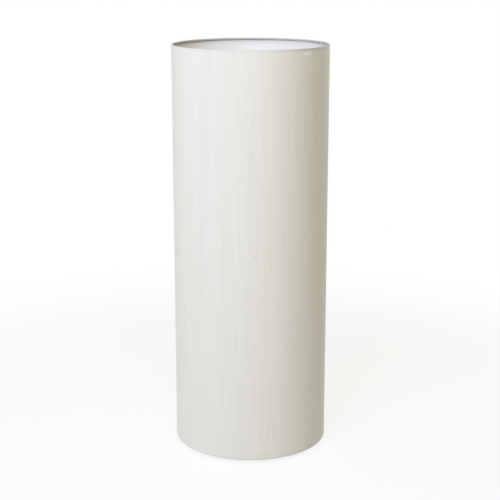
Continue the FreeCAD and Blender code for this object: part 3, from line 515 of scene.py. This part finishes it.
IVORY_SILK = SilkFinish("ivory_silk", colour(0.81, 0.788, 0.735), 0.62)
WHITE_LINING = GrainFinish("white_lining", colour(0.915, 0.91, 0.905), 0.5, grains=1500.0,
                           depth=0.01 * MM, variation=0.02)
WHITE_WIRE = GrainFinish("white_wire", colour(0.83, 0.83, 0.81), 0.35, grains=700.0,
                         depth=0.03 * MM, coat=0.2)
IVORY_ENAMEL = GrainFinish("ivory_enamel", colour(0.72, 0.70, 0.645), 0.5, grains=1100.0,
                           depth=0.045 * MM, variation=0.05, specular=0.4)
NICKEL = MetalFinish("satin_nickel", colour(0.66, 0.64, 0.61), 0.3)
ZINC = MetalFinish("bright_zinc", colour(0.62, 0.64, 0.67), 0.32, lines=(900.0, 900.0, 900.0))
THREADED_ZINC = MetalFinish("threaded_zinc", colour(0.60, 0.62, 0.65), 0.34,
                            lines=(900.0, 900.0, 900.0), thread_pitch=1.0 * MM)
BRASS = MetalFinish("plain_brass", colour(0.78, 0.60, 0.30), 0.28, lines=(600.0, 600.0, 2400.0))
RUBBER = GrainFinish("black_rubber", colour(0.035, 0.035, 0.037), 0.75, grains=1400.0,
                     depth=0.05 * MM, variation=0.3, specular=0.3)
HOLDER_PLASTIC = GrainFinish("holder_plastic", colour(0.82, 0.81, 0.78), 0.38, grains=1600.0)
CERAMIC = GrainFinish("glazed_ceramic", colour(0.80, 0.79, 0.75), 0.25, grains=300.0,
                      depth=0.05 * MM, coat=0.6)
BLOCK_PLASTIC = GrainFinish("natural_nylon", colour(0.76, 0.74, 0.66), 0.45, grains=1300.0)
FLEX_SHEATH = GrainFinish("white_sheath", colour(0.80, 0.79, 0.76), 0.42, grains=1200.0,
                          depth=0.04 * MM)
EARTH_SHEATH = GrainFinish("earth_sheath", colour(0.30, 0.50, 0.06), 0.42, grains=1200.0)
BULB_ALLOY = MetalFinish("bulb_alloy", colour(0.74, 0.74, 0.75), 0.25, lines=(500.0, 500.0, 2600.0))
SOLDER = MetalFinish("dull_solder", colour(0.55, 0.55, 0.56), 0.45, lines=(800.0, 800.0, 800.0))
BLACK_GLASS = GrainFinish("black_glass", colour(0.015, 0.015, 0.016), 0.12, grains=200.0, coat=0.5)
BULB_PLASTIC = GrainFinish("bulb_plastic", colour(0.84, 0.84, 0.83), 0.4, grains=1800.0)
OPAL = GrainFinish("opal_globe", colour(0.84, 0.84, 0.83), 0.38, grains=90.0, depth=0.01 * MM,
                   variation=0.02, coat=0.12)
BOARD = GrainFinish("board_mask", colour(0.78, 0.79, 0.78), 0.35, grains=500.0)

SLOT_FINISHES: dict[str, Finish] = {
    "silk": IVORY_SILK,
    "lining": WHITE_LINING,
    "white_wire": WHITE_WIRE,
    "ivory_enamel": IVORY_ENAMEL,
    "nickel": NICKEL,
    "zinc": ZINC,
    "brass": BRASS,
    "rubber": RUBBER,
    "holder_plastic": HOLDER_PLASTIC,
    "ceramic": CERAMIC,
    "block_plastic": BLOCK_PLASTIC,
    "flex_sheath": FLEX_SHEATH,
    "earth_sheath": EARTH_SHEATH,
    "bulb_alloy": BULB_ALLOY,
    "tip_solder": SOLDER,
    "black_glass": BLACK_GLASS,
    "bulb_plastic": BULB_PLASTIC,
    "opal": OPAL,
    "board": BOARD,
}
NODE_FINISHES: dict[str, Finish] = {
    "lower_nipple": THREADED_ZINC,
    "upper_nipple": THREADED_ZINC,
    "arm_nipple": THREADED_ZINC,
}


# ---- Pieces ----------------------------------------------------------------------------------
def finished_piece(name: str, mesh: bmesh.types.BMesh, body: Body, slot: str,
                   replaces: tuple[str, ...] = ()) -> bpy.types.Object:
    """Make a piece from its bmesh, dress it and let it ride.

    Args:
        name: The piece's name.
        mesh: Its shape, which is freed.
        body: What it moves with.
        slot: The record's material slot.
        replaces: The construction nodes it stands for.

    Returns:
        The piece.
    """
    data = bpy.data.meshes.new(name)
    mesh.to_mesh(data)
    mesh.free()
    for polygon in data.polygons:
        polygon.use_smooth = True
    piece = bpy.data.objects.new(name, data)
    bpy.context.scene.collection.objects.link(piece)
    data.materials.append(SLOT_FINISHES[slot].material())
    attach(piece, body.value)
    if replaces:
        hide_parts(*replaces)
    log.info("%s: %d faces on %s", name, len(data.polygons), body.value)
    return piece


@dataclass
class WrappedSheet:
    """A flat cut wrapped round an upright cylinder, with its own flat map in metres.

    Columns go round: each is a distance along the cut, a distance round the cylinder and a
    distance off its face. Rows go up: each is a distance along the cut, a radius and a height.
    """

    start_angle: float
    radius: float
    columns: list[tuple[float, float, float]]
    rows: list[tuple[float, float, float]]

    def build(self, ease: Callable[[float, float], float],
              painted_edge_shade: Callable[[float, float], float]) -> bmesh.types.BMesh:
        """Wrap the cut.

        Args:
            ease: How far the cloth stands off at an angle and a height.
            painted_edge_shade: From 0 to 1, how much painted shade the cloth gets at an angle and a
                distance along the cut.

        Returns:
            The wrapped mesh, with its flat map named cut and its painted_edge_shade mask.
        """
        across, up = len(self.columns) - 1, len(self.rows) - 1
        mesh = bmesh.new()
        bmesh.ops.create_grid(mesh, x_segments=across, y_segments=up, size=0.5)
        cut = mesh.loops.layers.uv.new("cut")
        # A vertex mask of painted shade, which the silk's material blends in as flat grey.
        painted_shade = mesh.verts.layers.float.new("painted_edge_shade")
        spots = {v: (round((v.co.x + 0.5) * across), round((v.co.y + 0.5) * up)) for v in mesh.verts}
        for face in mesh.faces:
            for loop in face.loops:
                column, row = spots[loop.vert]
                loop[cut].uv = (self.columns[column][0], self.rows[row][0])
        for vert, (column, row) in spots.items():
            _, round_it, off = self.columns[column]
            along, radius, height = self.rows[row]
            angle = self.start_angle + round_it / self.radius
            reach = radius + off + ease(angle, height)
            vert.co = Vector((reach * math.cos(angle), reach * math.sin(angle), height))
            vert[painted_shade] = painted_edge_shade(angle, along)
        return mesh


def running_length(points: list[tuple[float, float]]) -> list[tuple[float, float, float]]:
    """Put the distance walked so far before each point.

    Args:
        points: A line's points.

    Returns:
        The points with their distances.
    """
    walked, total = [], 0.0
    for index, point in enumerate(points):
        if index:
            total += math.dist(point, points[index - 1])
        walked.append((total, *point))
    return walked


def bump_at(distance: float, spread: float) -> float:
    """A smooth bump, 1 at no distance and fading over the spread."""
    return math.exp(-((distance / spread) ** 2))


def apart(angle: float, other: float) -> float:
    """The signed turn from one angle to another, less than half a circle."""
    return (angle - other + math.pi) % (2 * math.pi) - math.pi


def spaced(start: float, end: float, step: float) -> list[float]:
    """Even stations from start to just before end, about a step apart."""
    count = max(1, round(abs(end - start) / step))
    return [start + (end - start) * k / count for k in range(count)]


@dataclass
class Shade:
    """The silk panel, its lining and the wires that carry them."""

    radius: float = 190.0 * MM
    silk: float = 0.4 * MM
    lining: float = 0.5 * MM
    fit: float = 0.05 * MM
    wire: float = 4.0 * MM
    lap: float = 12.0 * MM
    lap_under: float = 8.0 * MM
    lap_climb: float = 6.0 * MM
    lining_lap: float = 9.0 * MM
    seam_angle: float = math.radians(24.6)
    spoke_angles: tuple[float, ...] = (45.0, 135.0, 225.0, 315.0)
    column_step: float = 4.2 * MM
    wall_step: float = 11.0 * MM
    edge_step: float = 2.2 * MM
    edge_zone: float = 36.0 * MM
    notch_clear: float = 0.4 * MM
    draw_in: float = 0.14 * MM
    draw_in_at: float = 5.0 * MM
    draw_in_spread: float = 3.5 * MM
    settle_zone: float = 30.0 * MM
    wave: float = 0.16 * MM
    pucker: float = 2.6 * MM
    pucker_at: float = 13.0 * MM
    pucker_spread: float = 10.0 * MM
    pucker_angle: float = math.radians(-43.0)
    pucker_width: float = 0.24
    # Painted shade on the silk: where it starts on each roll, how softly it blends, and the thin line
    # painted below the rolls, even all round plus a patch on the right front.
    rim_shade_from: float = 55.0
    hem_shade_from: float = 15.0
    shade_blend: float = 1.6 * MM
    rim_line_reach: float = 2.8 * MM
    hem_line_reach: float = 2.0 * MM
    shade_line_even: float = 0.2
    shade_line_patch: float = 0.75
    shade_line_width: float = 0.42
    weld_ring_radius: float = 184.7 * MM
    weld_hub_radius: float = 92.4 * MM
    weld_bead: float = 0.65 * MM
    weld_sides: int = 8
    weld_steps: int = 20
    weld_lumps: float = 0.09
    low: float = field(init=False)
    high: float = field(init=False)

    def __post_init__(self) -> None:
        """Take the hem's and the rim's heights from the construction."""
        self.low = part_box("shade_silk")[0].z
        self.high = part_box("shade_silk")[1].z

    @property
    def roll(self) -> float:
        """Outer radius of the silk rolled over a ring."""
        return self.wire / 2 + self.fit + self.silk

    @property
    def seam_start(self) -> float:
        """Angle of the panel's inner edge, half a lap before the seam's middle."""
        return self.seam_angle - self.lap / 2 / self.radius

    def roll_points(self, ring_z: float, sign: int) -> list[tuple[float, float]]:
        """Points of the silk's outer face from the wall over a ring to the end of its tail.

        Args:
            ring_z: The ring's height.
            sign: 1 at the rim, -1 at the hem.

        Returns:
            Radius and height of each point.
        """
        centre = self.radius - self.roll
        turn = [math.radians(270 * k / 18) for k in range(19)]
        arc = [(centre + self.roll * math.cos(a), ring_z + sign * self.roll * math.sin(a)) for a in turn]
        tail = self.radius - self.silk - self.fit
        return arc + [(tail, ring_z - sign * self.roll)]

    def rows(self) -> list[tuple[float, float, float]]:
        """The silk's rows, from the tail inside the hem to the tail inside the rim.

        Returns:
            Distance along the cut, radius and height of each row.
        """
        hem_ring, rim_ring = self.low + self.roll, self.high - self.roll
        hem = self.roll_points(hem_ring, -1)
        rim = self.roll_points(rim_ring, 1)
        inner_low, inner_high = hem_ring + self.edge_zone, rim_ring - self.edge_zone
        heights = spaced(hem_ring, inner_low, self.edge_step)[1:]
        heights += spaced(inner_low, inner_high, self.wall_step)
        heights += spaced(inner_high, rim_ring, self.edge_step)
        wall = [(self.radius, z) for z in heights]
        return running_length(hem[::-1] + wall + rim)

    def columns(self) -> list[tuple[float, float, float]]:
        """The silk's columns, from its inner edge round to the lapped edge, turned under.

        Returns:
            Distance along the cut, distance round and distance off the wall of each column.
        """
        turn = 2 * math.pi * self.radius
        raised = 2 * self.silk + self.fit
        stations = set(spaced(0, turn - self.lap_climb, self.column_step))
        half_notch = self.wire / 2 + 0.3 * MM
        for degrees in self.spoke_angles:
            middle = ((math.radians(degrees) - self.seam_start) % (2 * math.pi)) * self.radius
            near = {s for s in stations if abs(s - middle) < self.column_step * 0.8}
            stations = stations - near | {middle - half_notch, middle, middle + half_notch}
        points = [(s, 0.0) for s in sorted(stations)]
        for share in (0.0, 0.25, 0.5, 0.75):
            risen = share * share * (3 - 2 * share)
            points.append((turn - self.lap_climb * (1 - share), raised * risen))
        points += [(turn + self.lap * k / 4, raised) for k in range(5)]
        fold = raised / 2 - self.fit / 4
        for k in range(1, 5):
            angle = math.pi * k / 4
            points.append((turn + self.lap + fold * math.sin(angle),
                           raised - fold + fold * math.cos(angle)))
        under = raised - 2 * fold
        points += [(turn + self.lap - self.lap_under * k / 3, under) for k in (1, 2, 3)]
        return running_length(points)

    def ease(self, angle: float, height: float) -> float:
        """How far the silk stands off its true cylinder: drawn in beside the rings, and puckered.

        Args:
            angle: Round the column.
            height: Above the floor.

        Returns:
            The distance outwards.
        """
        hem_ring, rim_ring = self.low + self.roll, self.high - self.roll
        from_rim, from_hem = rim_ring - height, height - hem_ring
        if from_rim <= 0 or from_hem <= 0:
            return 0.0
        edge = min(from_rim, from_hem)
        drawn_in = -self.draw_in * bump_at(edge - self.draw_in_at, self.draw_in_spread)
        place = Vector((math.cos(angle), math.sin(angle), 0)) * self.radius
        swell = noise.noise(Vector((place.x * 14, place.y * 14, height * 1.7)))
        wave = min(1.0, edge / self.settle_zone) * swell * self.wave
        patch = bump_at(apart(angle, self.pucker_angle), self.pucker_width)
        amount = 0.2 + patch * (1.5 if from_rim < from_hem else 0.3)
        crease = noise.noise(Vector((angle * self.radius * 48 + height * 55, height * 105, 4.2)))
        zone = bump_at(edge - self.pucker_at, self.pucker_spread)
        return drawn_in + wave + zone * amount * max(crease, -0.1) * self.pucker

    def painted_edge_shade(self, angle: float, along: float, length: float) -> float:
        """How much painted shade the silk gets: over the inner side of each roll, and in a thin line of
        painted shade just below each roll, strongest at one patch on the right front.

        Args:
            angle: Round the column.
            along: Distance along the cut from the hem's tail.
            length: The cut's whole length.

        Returns:
            From 0, no painted shade, to 1, the full painted shade.
        """
        at_rim = length - along < along
        from_tail = min(along, length - along)
        start = self.rim_shade_from if at_rim else self.hem_shade_from
        # Painted shade over the inner side of the roll.
        rolled = self.roll * (1 + math.radians(270 - start)) - from_tail
        painted_shade = min(1.0, max(0.0, rolled / self.shade_blend))
        below = from_tail - self.roll * (1 + math.radians(270))
        # A thin line of painted shade just below the roll, where its shadow falls, stronger in one patch.
        patch = bump_at(apart(angle, self.pucker_angle), self.shade_line_width)
        shade_line_strength = self.shade_line_even + self.shade_line_patch * patch
        reach = self.rim_line_reach if at_rim else self.hem_line_reach
        shade_line = shade_line_strength * min(1.0, max(0.0, (reach - below) / self.shade_blend))
        return max(painted_shade, shade_line)

    def silk_panel(self) -> bpy.types.Object:
        """The silk: one cut, lapped at the seam, rolled at both ends and notched for the spokes.

        Returns:
            The panel.
        """
        columns, rows = self.columns(), self.rows()
        sheet = WrappedSheet(self.seam_start, self.radius, columns, rows)
        length = rows[-1][0]
        # The mesh carries a painted shade mask for the rolls and the line below them.
        mesh = sheet.build(self.ease, lambda angle, along: self.painted_edge_shade(angle, along, length))
        self.notch(mesh)
        panel = finished_piece("silk_panel", mesh, Body.SHADE, "silk", ("shade_silk", "shade_seam"))
        wall = panel.modifiers.new("cloth", "SOLIDIFY")
        wall.thickness = self.silk
        wall.offset = -1
        return panel

    def notch(self, mesh: bmesh.types.BMesh) -> None:
        """Snip the inner half of the hem's roll where each spoke passes.

        Args:
            mesh: The wrapped silk.
        """
        centre = self.radius - self.roll
        half_notch = self.wire / 2 + self.notch_clear
        snipped = []
        for face in mesh.faces:
            middle = face.calc_center_median()
            if middle.z > self.low + 2.2 * self.roll or middle.xy.length > centre - 0.2 * MM:
                continue
            angle = math.atan2(middle.y, middle.x)
            for degrees in self.spoke_angles:
                if abs(apart(angle, math.radians(degrees))) * centre < half_notch:
                    snipped.append(face)
        bmesh.ops.delete(mesh, geom=snipped, context="FACES")

    def lining_sheet(self) -> bpy.types.Object:
        """The stiff white lining, lapped behind the silk's own seam.

        Returns:
            The lining.
        """
        inner = self.radius - self.silk - self.fit - self.lining
        bottom, top = self.low + 2 * self.roll + self.fit, self.high - 2 * self.roll - self.fit
        rows = running_length([(inner, z) for z in spaced(bottom, top, 40 * MM) + [top]])
        turn = 2 * math.pi * inner
        points = [(s, 0.0) for s in spaced(0, turn - 4 * MM, self.column_step)]
        points += [(turn - 4 * MM, 0.0), (turn, -self.lining - self.fit)]
        points += [(turn + self.lining_lap * k / 3, -self.lining - self.fit) for k in (1, 2, 3)]
        start = self.seam_angle - self.lining_lap / 2 / inner
        sheet = WrappedSheet(start, inner, running_length(points), rows)
        mesh = sheet.build(lambda angle, height: 0.0, lambda angle, along: 0.0)
        bmesh.ops.reverse_faces(mesh, faces=mesh.faces[:])
        lining = finished_piece("lining_sheet", mesh, Body.SHADE, "lining", ("shade_lining",))
        wall = lining.modifiers.new("sheet", "SOLIDIFY")
        wall.thickness = self.lining
        wall.offset = -1
        return lining

    def spoke_welds(self) -> bpy.types.Object:
        """A lumpy bead of weld round each end of each spoke.

        Returns:
            The beads, as one piece.
        """
        ring_z = self.low + self.roll
        hub_z = sum(corner.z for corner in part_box("shade_hub_ring")) / 2
        mesh = bmesh.new()
        for radius, height in ((self.weld_ring_radius, ring_z), (self.weld_hub_radius, hub_z)):
            for degrees in self.spoke_angles:
                ring = bmesh.ops.create_circle(mesh, segments=self.weld_sides, radius=self.weld_bead)
                start = ring["verts"]
                bmesh.ops.rotate(mesh, verts=start, matrix=Matrix.Rotation(math.pi / 2, 3, "X"))
                bmesh.ops.translate(mesh, verts=start, vec=(0, 0, self.wire / 2 + 0.1 * MM))
                edges = list({edge for vert in start for edge in vert.link_edges})
                before = set(mesh.verts) - set(start)
                bmesh.ops.spin(mesh, geom=start + edges, cent=(0, 0, 0), axis=(1, 0, 0),
                               angle=2 * math.pi, steps=self.weld_steps, use_merge=True)
                bead = [vert for vert in mesh.verts if vert not in before]
                for vert in bead:
                    lump = noise.noise(vert.co * 900 + Vector((degrees, radius * 100, 0)))
                    vert.co *= 1 + self.weld_lumps * lump
                bmesh.ops.translate(mesh, verts=bead, vec=(radius, 0, height))
                bmesh.ops.rotate(mesh, verts=bead, cent=(0, 0, 0),
                                 matrix=Matrix.Rotation(math.radians(degrees), 3, "Z"))
        bmesh.ops.recalc_face_normals(mesh, faces=mesh.faces[:])
        return finished_piece("spoke_welds", mesh, Body.SHADE, "white_wire")

    def build(self) -> None:
        """Make every piece of the shade that isn't in the construction."""
        self.silk_panel()
        self.lining_sheet()
        self.spoke_welds()


@dataclass
class HolderGrip:
    """Ribs moulded round a lampholder's skirt, to grip it by when it is unscrewed."""

    name: str
    skirt: str
    count: int = 32
    rib_radius: float = 0.75 * MM
    clear: float = 3.5 * MM
    sunk: float = 0.15 * MM
    middle: float = 0.0001 * MM

    def build(self) -> bpy.types.Object:
        """Set the ribs round the skirt.

        Returns:
            The ribs, as one piece.
        """
        low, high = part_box(self.skirt)
        axis = (low + high) / 2
        skirt_radius = (high.y - low.y) / 2
        half = (high.z - low.z) / 2 - self.clear
        mesh = bmesh.new()
        for turn in range(self.count):
            ball = bmesh.ops.create_uvsphere(mesh, u_segments=8, v_segments=6, radius=self.rib_radius)
            rib = ball["verts"]
            for vert in rib:
                if abs(vert.co.z) > self.middle:
                    vert.co.z += math.copysign(half - self.rib_radius, vert.co.z)
            bmesh.ops.translate(mesh, verts=rib, vec=(skirt_radius - self.sunk, 0, 0))
            around = Matrix.Rotation(2 * math.pi * turn / self.count, 3, "Z")
            bmesh.ops.rotate(mesh, verts=rib, cent=(0, 0, 0), matrix=around)
        bmesh.ops.translate(mesh, verts=mesh.verts[:], vec=axis)
        return finished_piece(self.name, mesh, Body.STAND, "holder_plastic")


def dress_construction(frame: dict) -> None:
    """Give every node of the construction its finish, as the record's slots say.

    Args:
        frame: The loaded frame.
    """
    slots = {part["node"]: part["material_slot"] for part in frame["record"]["subparts"]}
    for name, piece in frame["nodes"].items():
        material = NODE_FINISHES.get(name, SLOT_FINISHES[slots[name]]).material()
        if piece.material_slots:
            for holder in piece.material_slots:
                holder.material = material
        else:
            piece.data.materials.append(material)
    log.info("dressed %d nodes of the construction", len(frame["nodes"]))


# ---- Studio ----------------------------------------------------------------------------------
@dataclass(frozen=True)
class Softbox:
    """A square lamp aimed at the column. Azimuth 0 is in front of it, 90 to its right."""

    name: str
    azimuth: float
    elevation: float
    power: float
    tint: tuple[float, float, float] = (1.0, 1.0, 1.0)
    size: float = 1.4
    distance: float = 2.6
    aim_height: float = 0.5

    def place(self) -> bpy.types.Object:
        """Hang the lamp.

        Returns:
            The lamp's object.
        """
        lamp = bpy.data.lights.new(self.name, "AREA")
        lamp.shape = "SQUARE"
        lamp.size = self.size
        lamp.energy = self.power
        lamp.color = self.tint
        box = bpy.data.objects.new(self.name, lamp)
        around, up = math.radians(self.azimuth), math.radians(self.elevation)
        away = Vector((math.sin(around) * math.cos(up), -math.cos(around) * math.cos(up), math.sin(up)))
        box.location = Vector((0, 0, self.aim_height)) + away * self.distance
        box.rotation_euler = (-away).to_track_quat("-Z", "Y").to_euler()
        bpy.context.scene.collection.objects.link(box)
        return box


@dataclass
class Studio:
    """White floor, white surroundings, soft lamps and the photograph's camera."""

    camera_distance: float = 2.893
    camera_height: float = 1.2286
    camera_aside: float = -1.3 * MM
    pitch: float = 14.32
    lens: float = 86.04
    world_light: float = 0.205
    world_tint: tuple[float, float, float] = (1.0, 0.86, 0.45)
    floor_radius: float = 60.0
    shadow_start: float = 0.7
    shadow_end: float = 1.9
    paper: float = 0.82
    paper_share: float = 0.22
    glow_near: float = 1.06
    softboxes: tuple[Softbox, ...] = (
        Softbox("cool_key", -30, 33, 82.0, (0.615, 0.69, 1.0), size=2.0, distance=4.0, aim_height=0.25),
        Softbox("warm_key", 0, 33, 41.5, (1.0, 0.965, 0.72), size=2.0, distance=4.0, aim_height=0.25),
        Softbox("left_fill", -108, 6, 84.0, (0.99, 1.0, 0.93), size=3.0, distance=5.0, aim_height=0.1),
        Softbox("top_fill", 0, 70, 15.0, (1.0, 0.98, 1.0), size=1.6, distance=3.0, aim_height=0.8),
        Softbox("right_rim", 141, 12, 17.0, (0.93, 0.97, 1.0), size=1.6, distance=3.0),
    )

    def camera(self) -> None:
        """Set the camera where the photograph was taken from."""
        data = bpy.data.cameras.new("photo_camera")
        data.sensor_width = 36.0
        data.lens = self.lens
        data.clip_start = 0.05
        eye = bpy.data.objects.new("photo_camera", data)
        eye.location = (self.camera_aside, -self.camera_distance, self.camera_height)
        eye.rotation_euler = (math.radians(90 - self.pitch), 0, 0)
        bpy.context.scene.collection.objects.link(eye)
        bpy.context.scene.camera = eye

    def world(self) -> None:
        """Pale even light, seen as white by the camera, in gloss and through glass."""
        world = bpy.data.worlds.new("white_room")
        bpy.context.scene.world = world
        world.use_nodes = True
        world.node_tree.nodes.clear()
        bench = NodeBench(world.node_tree)
        path = bench.add("ShaderNodeLightPath")
        seen = bench.math("ADD", path.outputs["Is Camera Ray"], path.outputs["Is Glossy Ray"])
        seen = bench.math("ADD", seen, path.outputs["Is Transmission Ray"], clamp=True)
        strength = bench.remap(seen, 0.0, 1.0, self.world_light, 1.0)
        light = bench.add("ShaderNodeBackground")
        tint = bench.blend(seen, colour(*self.world_tint), colour(1, 1, 1))
        bench.feed(light.inputs["Color"], tint)
        bench.feed(light.inputs["Strength"], strength)
        output = bench.add("ShaderNodeOutputWorld")
        bench.feed(output.inputs["Surface"], light.outputs[0])

    def floor(self) -> None:
        """Wide white floor, seen as glowing paper that keeps a faint shadow round the lamp."""
        mesh = bmesh.new()
        bmesh.ops.create_circle(mesh, cap_ends=True, segments=96, radius=self.floor_radius)
        data = bpy.data.meshes.new("studio_floor")
        mesh.to_mesh(data)
        mesh.free()
        floor = bpy.data.objects.new("studio_floor", data)
        bpy.context.scene.collection.objects.link(floor)
        material = bpy.data.materials.new("studio_white")
        material.use_nodes = True
        material.node_tree.nodes.clear()
        bench = NodeBench(material.node_tree)
        paper = bench.add("ShaderNodeBsdfDiffuse")
        paper.inputs["Color"].default_value = colour(self.paper, self.paper, self.paper)
        place = bench.add("ShaderNodeTexCoord")
        reach = bench.add("ShaderNodeVectorMath", operation="LENGTH")
        bench.feed(reach.inputs[0], place.outputs["Object"])
        far = bench.remap(reach.outputs["Value"], self.shadow_start, self.shadow_end)
        glow = bench.add("ShaderNodeEmission")
        bench.feed(glow.inputs["Strength"], bench.remap(far, 0.0, 1.0, self.glow_near, 1.0))
        path = bench.add("ShaderNodeLightPath")
        seen = bench.math("ADD", path.outputs["Is Camera Ray"], path.outputs["Is Glossy Ray"])
        seen = bench.math("ADD", seen, path.outputs["Is Transmission Ray"], clamp=True)
        share = bench.remap(far, 0.0, 1.0, 1.0 - self.paper_share, 1.0)
        mix = bench.add("ShaderNodeMixShader")
        bench.feed(mix.inputs[0], bench.math("MULTIPLY", seen, share))
        bench.feed(mix.inputs[1], paper.outputs[0])
        bench.feed(mix.inputs[2], glow.outputs[0])
        output = bench.add("ShaderNodeOutputMaterial")
        bench.feed(output.inputs["Surface"], mix.outputs[0])
        data.materials.append(material)

    def build(self) -> None:
        """Set up the whole studio."""
        bpy.context.scene.view_settings.view_transform = "Standard"
        self.camera()
        self.world()
        self.floor()
        for softbox in self.softboxes:
            softbox.place()
        log.info("studio with %d softboxes", len(self.softboxes))


def main() -> None:
    """Build the lamp around its construction, then the studio."""
    logging.basicConfig(level=logging.INFO, format="%(name)s: %(message)s")
    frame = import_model()
    Studio().build()
    dress_construction(frame)
    Shade().build()
    for side in ("upper", "lower"):
        HolderGrip(f"{side}_holder_ribs", f"{side}_holder_skirt").build()


if __name__ == "__main__":
    main()
